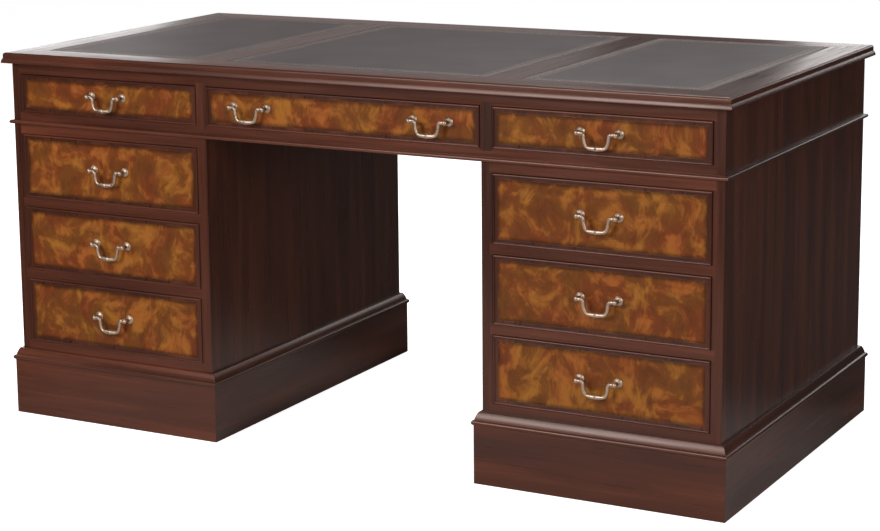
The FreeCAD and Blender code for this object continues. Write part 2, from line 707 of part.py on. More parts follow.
def make_drawer(kind, opening_width, opening_height, tails):
    """One drawer about its opening: x from its middle, y back from the face, z from its rail."""
    half = f"({opening_width} / 2 - side_gap)"
    head = f"({opening_height} - top_gap)"
    width = (f"-{half}", half)
    height = ("runner_gap", head)
    tail = f"(({head} - runner_gap + dovetail_pin - 2 * dovetail_half_pin) / {tails} - dovetail_pin)"
    lap = "(front_thickness - dovetail_reach)"

    bottom_x = f"({half} - drawer_side + groove_depth)"
    bottom_z = "(runner_gap + bottom_rise)"
    bottom = board(
        f"{kind}_bottom",
        (f"-{bottom_x}", bottom_x),
        ("front_thickness - groove_depth", DRAWER_LENGTH),
        (bottom_z, f"{bottom_z} + drawer_bottom"),
    )

    sides, sockets = [], []
    for hand, side in ((-1, "left"), (1, "right")):
        x = outward(hand, f"{half} - drawer_side", half)
        plank = board(f"{kind}_{side}_plank", x, ("front_thickness", DRAWER_LENGTH), height)
        dovetails = []
        for number in range(tails):
            foot = f"runner_gap + dovetail_half_pin + {number} * ({tail} + dovetail_pin)"
            wide = (foot, f"{foot} + {tail}")
            narrow = about(f"{foot} + {tail} / 2", f"{tail} - 2 * dovetail_reach / dovetail_slope")
            dovetails.append(
                wedge(f"{kind}_{side}_tail_{number}", x, wide, x, narrow, (lap, "front_thickness"))
            )
        whole = join(f"{kind}_{side}_whole", [plank] + dovetails)
        sides.append(cut(f"{kind}_{side}", whole, [bottom]))
        sockets += dovetails

    back_y = (f"{DRAWER_LENGTH} - drawer_back", DRAWER_LENGTH)
    back_x = (f"-({half} - drawer_side)", f"{half} - drawer_side")
    back_z = (f"{bottom_z} + drawer_bottom", f"{head} - back_drop")
    back = board(f"{kind}_back", back_x, back_y, back_z)

    bead_y = ("-cockbead_projection", "cockbead_depth - cockbead_projection")
    bead_block = board(f"{kind}_bead_block", width, bead_y, height)
    inside_x = f"({half} - cockbead_thickness)"
    inside_z = ("runner_gap + cockbead_thickness", f"{head} - cockbead_thickness")
    window = board(f"{kind}_bead_window", (f"-{inside_x}", inside_x), bead_y, inside_z)
    cockbead = cut(f"{kind}_cockbead", bead_block, [window])

    field_x = f"({inside_x} - veneer_border)"
    field_z = (f"{inside_z[0]} + veneer_border", f"{inside_z[1]} - veneer_border")
    field = board(f"{kind}_burr_field", (f"-{field_x}", field_x), ("0", "veneer_thickness"), field_z)
    blank = board(f"{kind}_front_blank", width, ("0", "front_thickness"), height)
    front = cut(f"{kind}_front", blank, sockets + [bottom, cockbead, field])
    return [front, cockbead, field] + sides + [back, bottom]


# ---------------------------------------------------------------- swan-neck pulls

BALL_EDGE = "(post_spacing / 2 - post_ball_radius)"
BAIL_END = f"({BALL_EDGE} + bail_entry)"


def make_posts():
    """A pair of cast posts: a rose, a neck and a ball bored for the bail's end."""
    ball = "post_ball_radius"
    sections = []
    for radius, depth in (
        ("post_rose_radius", "0"),
        ("post_rose_radius", "1.5"),
        ("post_neck_radius", f"post_stand_off - {ball}"),
        (ball, f"post_stand_off - {ball} / 2"),
        (ball, f"post_stand_off + {ball} / 2"),
        (f"{ball} / 2", f"post_stand_off + {ball}"),
    ):
        sections.append((radius, "0", f"-({depth})", "0", (1, 0, 0), 90))
    turned = polygon_loft("post_casting", sections)
    end_gap = "pin_clearance"
    socket = bore(
        "post_socket", "bail_radius", f"{ball} + 1", f"{ball} - bail_entry - {end_gap}",
        "-post_stand_off", "0", axis=(0, 1, 0), turn=90,
    )
    post = cut("post", turned, [socket])
    left = place(compound("post_left", [post]), "-post_spacing / 2")
    right = place(compound("post_right", [post]), "post_spacing / 2", axis=(0, 1, 0), turn=180)
    return compound("post_pair", [left, right])


def make_bail():
    """A swan-neck bail: two bent arms and a thicker grip, its ends turning in the posts."""
    half = [
        (BAIL_END, "0"),
        ("bail_half_width + bail_bend", "0"),
        ("bail_half_width", "-bail_bend"),
        ("bail_half_width", "bail_bend - bail_drop"),
        ("bail_half_width - bail_bend", "-bail_drop"),
    ]
    points = half + [(f"-({x})", z) for x, z in reversed(half)]
    runs = []
    for number, ((x1, z1), (x2, z2)) in enumerate(zip(points, points[1:])):
        run = doc.addObject("Part::Line", f"bail_run_{number}")
        for prop, expression in zip(("X1", "Z1", "X2", "Z2"), (x1, z1, x2, z2)):
            bind(run, prop, expression)
        runs.append(run)
    section = doc.addObject("Part::RegularPolygon", "bail_section")
    section.Polygon = FACETS
    bind(section, "Circumradius", "bail_radius")
    place(section, BAIL_END, axis=(0, 1, 0), turn=270)
    arms = doc.addObject("Part::Sweep", "bail_arms")
    arms.Sections = [section]
    arms.Spine = (compound("bail_path", runs), [])
    arms.Solid = True
    arms.Transition = "Right corner"
    arms.Linearize = True

    narrow = "(bail_half_width - bail_bend)"
    swell = []
    for radius, x in (
        ("bail_radius", narrow),
        ("grip_radius", f"{narrow} / 3"),
        ("grip_radius", f"-{narrow} / 3"),
        ("bail_radius", f"-{narrow}"),
    ):
        swell.append((radius, x, "0", "-bail_drop", (0, 1, 0), 270))
    grip = polygon_loft("bail_grip", swell)
    return join("bail", [arms, grip])


# ---------------------------------------------------------------- cupboard doors

HINGE_PLACES = {
    "lower": f"({LOWEST_OPENING} + hinge_inset)",
    "upper": f"({PEDESTAL_OPENING_HEAD} - hinge_inset)",
}
HINGE_LINE = f"({OPENING_EDGE} - side_gap / 2)"
HINGE_PROUD = f"({HALF_DEPTH} + knuckle_radius + knuckle_gap)"


def hinge_pocket(side, hand, place_name):
    """The shallow recess in a pedestal's outer side for the fixed leaf of a hinge."""
    x = outward(hand, OPENING_EDGE, f"{OPENING_EDGE} + leaf_thickness")
    y = (f"{HALF_DEPTH} - hinge_leaf", HALF_DEPTH)
    z = about(HINGE_PLACES[place_name], "hinge_length")
    return board(f"{side}_{place_name}_leaf_pocket", x, y, z)


def hinge_leaf(name, x, hand, middle, fixed):
    """A leaf with its knuckles: the fixed one has the outer two and the pin, the other the middle."""
    leaf_y = (f"{HALF_DEPTH} - hinge_leaf", HALF_DEPTH)
    plate = board(f"{name}_plate", x, leaf_y, about(middle, "hinge_length"))
    third = "(hinge_length / 3)"
    if fixed:
        spans = [
            (f"{middle} - hinge_length / 2", f"{middle} - {third} / 2 - knuckle_gap"),
            (f"{middle} + {third} / 2 + knuckle_gap", f"{middle} + hinge_length / 2"),
        ]
    else:
        spans = [about(middle, third)]
    pieces = [plate]
    for number, (low, high) in enumerate(spans):
        pieces.append(board(f"{name}_tab_{number}", x, (HALF_DEPTH, HINGE_PROUD), (low, high)))
        pieces.append(
            prism(
                f"{name}_knuckle_{number}", "knuckle_radius", f"({high}) - ({low})",
                f"{hand} * {HINGE_LINE}", HINGE_PROUD, low,
            )
        )
    pin_place = (f"{hand} * {HINGE_LINE}", HINGE_PROUD, f"{middle} - hinge_length / 2")
    if fixed:
        pin = prism(f"{name}_pin", "hinge_pin_radius", "hinge_length", *pin_place)
        return join(name, pieces + [pin])
    eye = bore(f"{name}_eye", "hinge_pin_radius", "hinge_length", *pin_place)
    return cut(name, join(f"{name}_solid", pieces), [eye])


def make_door(hand, side):
    """A cupboard door: tenoned frame, burr panel, butt hinges on its outer stile and a knob."""
    outer = f"({OPENING_EDGE} - side_gap)"
    inner = f"({OPENING_INNER} + side_gap)"
    foot = f"({LOWEST_OPENING} + runner_gap)"
    head = f"({PEDESTAL_OPENING_HEAD} - top_gap)"
    y = (f"{HALF_DEPTH} - front_thickness", HALF_DEPTH)
    tenon_y = about(f"{HALF_DEPTH} - front_thickness / 2", "tenon_thickness")
    panel_head = f"{HALF_DEPTH} - door_panel_setback"
    rail_x = outward(hand, f"{inner} + door_stile", f"{outer} - door_stile")
    tenon_x = outward(
        hand, f"{inner} + door_stile - tenon_length", f"{outer} - door_stile + tenon_length"
    )

    panel = board(
        f"{side}_door_panel",
        outward(hand, f"{inner} + door_stile - panel_groove", f"{outer} - door_stile + panel_groove"),
        (f"{panel_head} - door_panel", panel_head),
        (f"{foot} + door_stile - panel_groove", f"{head} - door_stile + panel_groove"),
    )
    rails, whole_rails = [], []
    for tag, z in (("lower", (foot, f"{foot} + door_stile")), ("upper", (f"{head} - door_stile", head))):
        rail = board(f"{side}_door_{tag}_bar", rail_x, y, z)
        tenon_z = about(f"(({z[0]}) + ({z[1]})) / 2", "door_stile / 2")
        tenon = board(f"{side}_door_{tag}_tenon", tenon_x, tenon_y, tenon_z)
        whole = join(f"{side}_door_{tag}_whole", [rail, tenon])
        whole_rails.append(whole)
        rails.append(cut(f"{side}_door_{tag}_rail", whole, [panel]))

    stiles, leaves = [], []
    for tag, x in (
        ("closing", outward(hand, inner, f"{inner} + door_stile")),
        ("hanging", outward(hand, f"{outer} - door_stile", outer)),
    ):
        bar = board(f"{side}_door_{tag}_bar", x, y, (foot, head))
        tools = whole_rails + [panel]
        if tag == "hanging":
            leaf_x = outward(hand, f"{outer} - leaf_thickness", outer)
            for place_name, middle in HINGE_PLACES.items():
                name = f"{side}_{place_name}_door_leaf"
                leaves.append(hinge_leaf(name, leaf_x, hand, middle, False))
                pocket_y = (f"{HALF_DEPTH} - hinge_leaf", HALF_DEPTH)
                tools.append(board(f"{name}_pocket", leaf_x, pocket_y, about(middle, "hinge_length")))
        stiles.append(cut(f"{side}_door_{tag}_stile", bar, tools))

    node(f"{side}_door", stiles + rails + [panel])
    node(f"{side}_door_hinge_leaves", leaves)

    knob_sections = []
    for radius, reach in (
        ("knob_radius * 0.7", "0"),
        ("knob_radius * 0.7", "2"),
        ("knob_radius * 0.45", "4"),
        ("knob_radius * 0.45", "knob_reach * 0.45"),
        ("knob_radius", "knob_reach * 0.7"),
        ("knob_radius * 0.9", "knob_reach * 0.9"),
        ("knob_radius * 0.4", "knob_reach"),
    ):
        knob_sections.append((radius, "0", f"-({reach})", "0", (1, 0, 0), 90))
    knob = polygon_loft(f"{side}_knob_casting", knob_sections, 2 * FACETS)
    knob_x = f"{hand} * ({inner} + door_stile / 2)"
    node(f"{side}_door_knob", [knob], knob_x, HALF_DEPTH, f"({foot} + {head}) / 2", turn=180)


def make_fixed_hinges():
    """The fixed leaves of all four butt hinges, each with its outer knuckles and its pin."""
    leaves = []
    for hand, side in ((-1, "left"), (1, "right")):
        x = outward(hand, OPENING_EDGE, f"{OPENING_EDGE} + leaf_thickness")
        for place_name, middle in HINGE_PLACES.items():
            name = f"{side}_{place_name}_fixed_leaf"
            leaves.append(hinge_leaf(name, x, hand, middle, True))
    node("cupboard_hinge_leaves", leaves)


# ---------------------------------------------------------------- the whole desk


def fit_drawer(name, pieces, middle, foot, height, face, offsets, posts, bail):
    """Puts a drawer in its opening with its pulls, facing the front (-1) or the rear (1)."""
    turn = 0 if face < 0 else 180
    y = f"{face} * {HALF_DEPTH}"
    node(f"{name}_drawer", pieces, middle, y, foot, turn)
    pull_z = f"{foot} + runner_gap / 2 + {height} / 2 + post_rise"
    sets = []
    for number, offset in enumerate(offsets):
        x = f"{middle} + ({offset})"
        pair = place(compound(f"{name}_posts_{number}", [posts]), x, y, pull_z, turn=turn)
        sets.append(pair)
        suffix = "_bail" if len(offsets) == 1 else ("_left_bail", "_right_bail")[number]
        pivot_y = f"{y} + {face} * post_stand_off"
        node(f"{name}{suffix}", [bail], x, pivot_y, pull_z, turn)
    node(f"{name}_pull_posts", sets)


make_top()
pegs = make_frieze()
make_bead()
for hand, side in ((-1, "left"), (1, "right")):
    make_pedestal(hand, side, pegs)
    make_plinth(hand, side)
make_plinth_moulding()
make_fixed_hinges()
for hand, side in ((-1, "left"), (1, "right")):
    make_door(hand, side)

posts = make_posts()
bail = make_bail()
pedestal_drawer = make_drawer("pedestal_drawer", OPENING_WIDTH, PEDESTAL_OPENING, 3)
frieze_side_drawer = make_drawer("frieze_side_drawer", OPENING_WIDTH, FRIEZE_OPENING, 2)
frieze_centre_drawer = make_drawer("frieze_centre_drawer", CENTRE_OPENING, FRIEZE_OPENING, 2)
TWO_PULLS = ("-centre_pull_offset", "centre_pull_offset")
for face, tag in ((-1, "front"), (1, "rear")):
    for hand, side in ((-1, "left"), (1, "right")):
        fit_drawer(
            f"{tag}_frieze_{side}", frieze_side_drawer, f"{hand} * {PEDESTAL_MIDDLE}",
            FRIEZE_OPENING_FOOT, FRIEZE_OPENING, face, ["0"], posts, bail,
        )
    fit_drawer(
        f"{tag}_frieze_centre", frieze_centre_drawer, "0", FRIEZE_OPENING_FOOT, FRIEZE_OPENING,
        face, TWO_PULLS, posts, bail,
    )
for hand, side in ((-1, "left"), (1, "right")):
    for row, place_name in enumerate(("bottom", "middle", "top")):
        fit_drawer(
            f"{side}_{place_name}", pedestal_drawer, f"{hand} * {PEDESTAL_MIDDLE}",
            opening_foot(row), PEDESTAL_OPENING, -1, ["0"], posts, bail,
        )

doc.recompute()
failed = [o.Label for o in doc.Objects if "Invalid" in o.State or "Error" in o.State]
if failed:
    raise RuntimeError(f"these objects failed to build: {failed}")
for part in NODES:
    if part.Shape.isNull() or not part.Shape.isValid() or not part.Shape.Solids:
        raise RuntimeError(f"{part.Label} has no valid solid")

os.makedirs("parts", exist_ok=True)
for part in NODES:
    part.Shape.exportStep(os.path.join("parts", f"{part.Label}.step"))
print(f"{len(NODES)} sub-parts written")
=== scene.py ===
import json
import math

import bmesh
import bpy
from bpy.props import FloatProperty, FloatVectorProperty, PointerProperty
from mathutils import Matrix, Vector
from mathutils.geometry import interpolate_bezier


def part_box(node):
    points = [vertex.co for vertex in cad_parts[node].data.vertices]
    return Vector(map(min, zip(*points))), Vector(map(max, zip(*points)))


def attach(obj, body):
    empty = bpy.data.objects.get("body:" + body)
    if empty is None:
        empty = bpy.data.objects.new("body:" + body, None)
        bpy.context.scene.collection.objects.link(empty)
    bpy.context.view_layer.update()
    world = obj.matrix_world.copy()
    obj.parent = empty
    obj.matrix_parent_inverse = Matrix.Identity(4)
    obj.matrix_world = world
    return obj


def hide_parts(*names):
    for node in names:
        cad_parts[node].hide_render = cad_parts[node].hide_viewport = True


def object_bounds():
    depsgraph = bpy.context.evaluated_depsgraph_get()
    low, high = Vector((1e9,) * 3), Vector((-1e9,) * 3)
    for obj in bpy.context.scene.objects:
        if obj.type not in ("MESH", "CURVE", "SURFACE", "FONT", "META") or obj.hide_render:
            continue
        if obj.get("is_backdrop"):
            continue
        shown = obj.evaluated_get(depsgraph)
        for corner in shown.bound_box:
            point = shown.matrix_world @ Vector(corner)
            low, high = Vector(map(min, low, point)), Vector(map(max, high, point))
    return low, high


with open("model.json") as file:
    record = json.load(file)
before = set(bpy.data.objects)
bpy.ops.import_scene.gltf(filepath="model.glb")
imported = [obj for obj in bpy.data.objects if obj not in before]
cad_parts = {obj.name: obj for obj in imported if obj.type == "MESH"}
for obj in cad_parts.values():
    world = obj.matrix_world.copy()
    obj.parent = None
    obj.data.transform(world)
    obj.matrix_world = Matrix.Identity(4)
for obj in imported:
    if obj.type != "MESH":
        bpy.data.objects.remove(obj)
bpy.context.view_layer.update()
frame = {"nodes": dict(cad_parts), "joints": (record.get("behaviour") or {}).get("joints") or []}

bl_info = {
    "name": "Partners Desk",
    "version": (1, 0, 0),
    "blender": (4, 5, 0),
    "location": "View3D > Sidebar > Desk",
    "description": "Dresses a mahogany and burr walnut partners desk round its cabinet work",
    "category": "Object",
}

MM = 0.001
X_AXIS, Y_AXIS, Z_AXIS = 0, 1, 2
SHARP_ANGLE = math.radians(32)
PICTURE_WIDTH, PICTURE_HEIGHT = 880, 531
SENSOR_WIDTH = 36

FRONT_DRAWERS = (
    "front_frieze_left", "front_frieze_centre", "front_frieze_right",
    "left_bottom", "left_middle", "left_top", "right_bottom", "right_middle", "right_top",
)
REAR_DRAWERS = ("rear_frieze_left", "rear_frieze_centre", "rear_frieze_right")
DRAWERS = [(name, -1) for name in FRONT_DRAWERS] + [(name, 1) for name in REAR_DRAWERS]
LEATHERS = ("leather_left", "leather_centre", "leather_right")
FIELD_MAPS = ("near", "far")

WHITE, BLACK = (1, 1, 1, 1), (0, 0, 0, 1)
MULTIPLIED = {"data_type": "RGBA", "blend_type": "MULTIPLY"}  # settings of a Mix of two colours
POLISH_IOR = 1.5
FINE_LINE = 0.6  # finer gilt lines, as a share of the plain one
LOZENGE_PITCH = 8 * MM
LOZENGE_REACH = 2.8 * MM  # from a lozenge's middle to its corner
# The paper that a gloss mirrors is an oval on the floor; these map it onto a unit disc.
PAPER_SCALE = (0.45, 0.57, 1)
PAPER_SHIFT = (-0.16, 0.36, 0)
PAPER_LIFT = 0.84  # light that lifts the seen paper to white

RAIL_DEPTH = 60 * MM
DOOR_STILE = 52 * MM
FRONT_BOARD = 20.5 * MM  # a drawer's front board, and a little more
CLOSE = 0.3 * MM  # places nearer than this count as the same
MAINLY = 0.5  # a face looks along an axis where its normal has more than this of it

LIP_WIDTH = 14 * MM  # of the top's edge where it hangs below the board
NOSE_DIP = 2.8 * MM  # middle of the top's nose below the top's underside
NOSE_ARC = (6, 30)  # degrees above the level, as all the arcs here
QUIRK = (0.7 * MM, 0.3 * MM)  # the small step over the nose: in, and up
ROUND_ARC = (5, 90)
OVOLO_START = 11

# A cast post: its rose has a rim and a dome, then come a collar, a neck and a ball.
ROSE_RIM = 0.4 * MM
DOME_FOOT, DOME = 1.2 * MM, 4 * MM
DOME_END, BALL_END = 66, 78  # degrees from the drawer's face
COLLAR, COLLAR_ARC = 0.9 * MM, (-60, 80)
COLLAR_OUT, COLLAR_UP = 0.8 * MM, 0.6 * MM  # its middle from the neck, and from the dome
NECK_START = 1.4 * MM  # above the collar's middle
# One half of a bail from its post to its middle, in millimetres, as curves with two handles.
BAIL_DROP = 28
BAIL_CURVES = (
    ((35, 0), (30, 0.2), (25.2, 0.4), (24.6, -6)),
    ((24.6, -6), (24, -15), (22.4, -26.2), (14, -27.2)),
    ((14, -27.2), (9, -27.8), (4, -28), (0, -BAIL_DROP)),
)
CURVE_STEPS = 16
SWELL_REACH = 16 * MM  # half of the grip's length
SWELL = 0.75  # how much of the way from the arm's radius to the grip's it grows
# Rings cast on a bail: how far out, how wide and how high.
ARM_RING = (28.5 * MM, 1.0 * MM, 1.0 * MM)
GRIP_RING = (0, 1.3 * MM, 0.8 * MM)
# A knob's profile: its foot as (share of radius, height), its head as shares of both.
KNOB_FOOT = ((0, 0), (0.7, 0), (0.7, 1.2 * MM), (0.6, 2.2 * MM), (0.4, 4 * MM))
KNOB_HEAD = (
    (0.36, 0.4), (0.5, 0.52), (0.9, 0.6), (1, 0.72), (0.94, 0.84), (0.7, 0.94), (0.35, 0.99), (0, 1)
)

FLOOR_REACH = 30
FLOOR_LEVEL = -0.2 * MM
# Soft boxes: name, place, what they face, width, height, power setting and share of it.
SOFT_BOXES = (
    ("key_soft_box", (-1.0, -3.7, 2.0), (0, 0, 0.4), 1.3, 1.7, "key", 1),
    ("overhead_soft_box", (0, -0.3, 3.0), (0, 0, 0.5), 2.2, 1.6, "overhead", 1),
    ("rear_soft_box", (-0.4, 2.2, 3.4), (0, 0.2, 0.4), 1.6, 1.2, "rear", 1),
    ("side_soft_box", (-3.8, -0.4, 2.6), (0, 0, 0.4), 1.6, 1.4, "side", 1),
    ("right_soft_box", (3.0, -2.5, 1.7), (0, 0, 0.4), 1.6, 1.4, "wing", 1),
    ("backdrop_panel", (-3.2, 3.8, 1.5), (0, 0, 0.8), 3.6, 1.3, "backdrop", 1),
    ("left_panel", (-4.3, 3.5, 1.4), (0, 0, 0.8), 2.0, 1.2, "glare", 1),
    ("right_panel", (0.7, 3.5, 1.3), (0, 0, 0.8), 2.4, 0.7, "glare", 0.8),
)
DARK_ROOM = 0.4  # what a polished face mirrors of the bounce, as a share


# ---------------------------------------------------------------- colours and properties


def linear(code):
    """The linear colour of an sRGB hex code."""
    parts = (int(code[place:place + 2], 16) / 255 for place in (0, 2, 4))
    return tuple(c / 12.92 if c <= 0.04045 else ((c + 0.055) / 1.055) ** 2.4 for c in parts)


def opaque(colour):
    return (colour[0], colour[1], colour[2], 1)


def colour_property(label, note, code):
    return FloatVectorProperty(
        name=label, description=note, subtype="COLOR", size=3, min=0, max=1, default=linear(code)
    )


def number_property(label, note, value, **settings):
    return FloatProperty(name=label, description=note, default=value, **settings)


def length_property(label, note, millimetres):
    return number_property(label, note, millimetres * MM, subtype="DISTANCE", unit="LENGTH")


def angle_property(label, note, degrees):
    turn = math.radians(degrees)
    return number_property(label, note, turn, subtype="ANGLE", unit="ROTATION")


def power_property(label, note, watts):
    return number_property(label, note, watts, unit="POWER")


class DeskFinish(bpy.types.PropertyGroup):
    """Colours of the woods, the leather and the brass."""

    mahogany_dark: colour_property("Mahogany, dark", "Dark streaks of the mahogany", "33170e")
    mahogany_mid: colour_property("Mahogany", "Body colour of the mahogany", "421e11")
    mahogany_light: colour_property("Mahogany, light", "Light ribbons of the mahogany", "562a1a")
    burr_dark: colour_property("Burr, dark", "Dark clouds in the walnut burr", "5b3114")
    burr_mid: colour_property("Burr", "Body colour of the walnut burr", "6d3a15")
    burr_light: colour_property("Burr, light", "Golden swirls in the walnut burr", "925720")
    lining: colour_property("Lining", "Waxed lining wood inside the desk", "9a7850")
    hide: colour_property("Hide", "Dyed writing leather", "514242")
    gilt: colour_property("Gilt", "Gold leaf tooled into the leather", "c2ae98")
    brass: colour_property("Brass", "Lacquered brass where hands keep it bright", "c4ab96")
    patina: colour_property("Patina", "Darkened brass in the hollows", "6f5849")
    floor: colour_property("Floor", "Studio floor and backdrop", "f2f2f2")


class DeskSizes(bpy.types.PropertyGroup):
    """Sizes of the fine work on the desk."""

    edge_ease: length_property("Eased edge", "Radius that sandpaper leaves on an edge", 0.8)
    top_round: length_property("Top's round", "Radius of the upper member of the top's edge", 4.5)
    top_nose: length_property("Top's nose", "Radius of the lower member of the top's edge", 22)
    top_lip: length_property("Top's lip", "How far the edge hangs below the top's underside", 1.5)
    border: length_property("Border", "Mahogany outside the leather", 72)
    plinth_nose: length_property("Plinth nose", "Radius of the half round over a plinth", 5)
    plinth_ovolo: length_property("Plinth ovolo", "Radius of the round above that nose", 40)
    bead_nose: length_property("Cockbead nose", "Radius of the bead round a drawer", 2)
    bead_width: length_property("Cockbead", "Width of the bead round a drawer", 4)
    bead_depth: length_property("Cockbead depth", "Bead let in behind the drawer's face", 5.5)
    bead_proud: length_property("Cockbead stands", "Bead in front of the drawer's face", 2.5)
    burr_inset: length_property("Burr inset", "Drawer's edge to the burr field", 10)
    burr_shade: length_property("Burr shade", "Reach of the dark polish inside a burr field", 9)
    tool_inset: length_property("Tooling inset", "Leather's edge to the gilt line", 26)
    tool_line: length_property("Gilt line", "Width of a gilt line", 1.4)
    roll_inset: length_property("Roll inset", "Leather's edge to the middle of the tooled roll", 13)
    roll_width: length_property("Roll width", "Width of the tooled roll", 10)
    post_spacing: length_property("Posts", "Between the two posts of a pull", 76)
    stand_off: length_property("Stand-off", "Pull's pivot in front of the drawer", 17)
    ball: length_property("Ball", "Radius of the ball that holds a bail's end", 5.2)
    rose: length_property("Rose", "Radius of the domed rose under a post", 9)
    neck: length_property("Neck", "Radius of a post's neck", 3.4)
    bail: length_property("Bail", "Radius of a bail's arm", 3.6)
    grip: length_property("Grip", "Radius that a bail's thick middle grows towards", 5)
    drop: length_property("Drop", "Bail's pivot to the middle of its grip", 27)
    knob: length_property("Knob", "Radius of a cupboard knob", 11)


class DeskStage(bpy.types.PropertyGroup):
    """Where the camera stands, and how the studio is lit."""

    azimuth: angle_property("Azimuth", "Camera round the desk, front to right", 29.8442)
    elevation: angle_property("Elevation", "Camera above the level", 10.4278)
    roll: angle_property("Roll", "Camera about its own line of sight", -0.8743)
    distance: length_property("Distance", "Camera from the desk's middle", 4776.8)
    pan: length_property("Pan", "Camera moved sideways in its own plane", -156.34)
    rise: length_property("Rise", "Camera moved up in its own plane", 111.27)
    focal: number_property("Focal length", "In pixels of the picture", 2292.32)
    centre_x: number_property("Centre across", "Lens axis in the picture", 360)
    centre_y: number_property("Centre down", "Lens axis in the picture", 180)
    key: power_property("Key", "Soft box in front", 96)
    overhead: power_property("Overhead", "Soft box above", 6)
    rear: power_property("Rear", "Soft box behind", 50)
    side: power_property("Side", "Soft box at the left", 35)
    glare: power_property("Glare", "Two low panels behind, the right one at four fifths", 20)
    backdrop: power_property("Backdrop", "Wide low panel behind", 5.4)
    wing: power_property("Wing", "Soft box at the right", 40)
    ambient: number_property("Ambient", "Strength of the studio's bounce", 0.16)


def finish():
    return bpy.context.scene.desk_finish


def sizes():
    return bpy.context.scene.desk_sizes


# ---------------------------------------------------------------- shader nodes


def add_node(tree, kind, inputs=None, stops=(), **settings):
    """Adds one node: its settings, its colour stops, and numbers or links for its inputs.

    A node given as an input stands for its first output. Inputs that share a name go by number:
    a MapRange has its ranges at 1 to 4, and a Mix of colours has them at 6 and 7. The stops come
    as the lowest, the highest, then the rest.
    """
    node = tree.nodes.new(f"ShaderNode{kind}")
    for name, value in settings.items():
        setattr(node, name, value)
    for place, (position, colour) in enumerate(stops):
        elements = node.color_ramp.elements
        element = elements[place] if place < 2 else elements.new(position)
        element.position = position
        element.color = opaque(colour)
    for name, value in (inputs or {}).items():
        if isinstance(value, bpy.types.Node):
            value = value.outputs[0]
        if isinstance(value, bpy.types.NodeSocket):
            tree.links.new(value, node.inputs[name])
        else:
            node.inputs[name].default_value = value
    return node


def new_material(name):
    """An empty material, its tree and the object coordinates of its surface."""
    material = bpy.data.materials.new(name)
    material.use_nodes = True
    tree = material.node_tree
    tree.nodes.clear()
    return material, tree, add_node(tree, "TexCoord").outputs["Object"]


def grain_scale(axis, across, along):
    """Repeats per metre of a pattern so many millimetres across and along the grain."""
    return tuple(1 / ((along if index == axis else across) * MM) for index in range(3))


def grain_patterns(tree, place, axis, patterns):
    """Noise drawn out along the grain, one per (name, across, along, detail) in millimetres."""
    found = {}
    for name, across, along, detail in patterns:
        scale = grain_scale(axis, across, along)
        drawn = add_node(tree, "Mapping", {"Vector": place, "Scale": scale})
        inputs = {"Vector": drawn, "Scale": 1, "Detail": detail, "Distortion": 0.3}
        found[name] = add_node(tree, "TexNoise", inputs)
    return found


# ---------------------------------------------------------------- materials


def polished_mahogany(axis):
    """Mahogany, planed and French polished: satin, with ribbons and short pores on the grain."""
    name = f"french_polished_mahogany_{'xyz'[axis]}"
    if name in bpy.data.materials:
        return bpy.data.materials[name]
    material, tree, place = new_material(name)
    looks = finish()
    # Pores of real mahogany are 0.2 mm across; they are drawn 1.1 mm across so that they show.
    found = grain_patterns(
        tree, place, axis, (("figure", 38, 520, 3), ("ribbon", 7, 210, 3), ("pore", 1.1, 17, 1))
    )
    # Boards that run along the desk get a paler copy of the mahogany: painted light for the
    # brighter rails and plinths.
    painted_light_gain = 1.3 if axis == X_AXIS else 1.0
    dark, middle, light = (
        [channel * painted_light_gain for channel in colour]
        for colour in (looks.mahogany_dark, looks.mahogany_mid, looks.mahogany_light)
    )
    blend = add_node(
        tree, "Math", {0: found["ribbon"], 1: 0.35, 2: found["figure"]}, operation="MULTIPLY_ADD"
    )
    body = add_node(
        tree, "ValToRGB", {"Fac": blend}, stops=((0.44, dark), (0.92, light), (0.68, middle))
    )
    pores = add_node(tree, "MapRange", {0: found["pore"], 1: 0.34, 2: 0.44, 3: 0.93, 4: 1.0})
    colour = add_node(tree, "Mix", {0: 1.0, 6: body, 7: pores}, **MULTIPLIED)
    gloss = add_node(tree, "MapRange", {0: found["ribbon"], 1: 0.3, 2: 0.7, 3: 0.26, 4: 0.37})
    eased = add_node(tree, "Bevel", {"Radius": sizes().edge_ease}, samples=4)
    relief = add_node(
        tree, "Bump", {"Height": pores, "Distance": 0.05 * MM, "Strength": 0.5, "Normal": eased}
    )
    surface = add_node(tree, "BsdfPrincipled", {
        "Base Color": colour.outputs[2],
        "Roughness": gloss,
        "Normal": relief,
        "IOR": POLISH_IOR,
        "Specular IOR Level": 0.5,
        # Amber shellac warms what the polish mirrors face on.
        "Specular Tint": (1, 0.81, 0.74, 1),
    })
    add_node(tree, "OutputMaterial", {"Surface": surface})
    return material


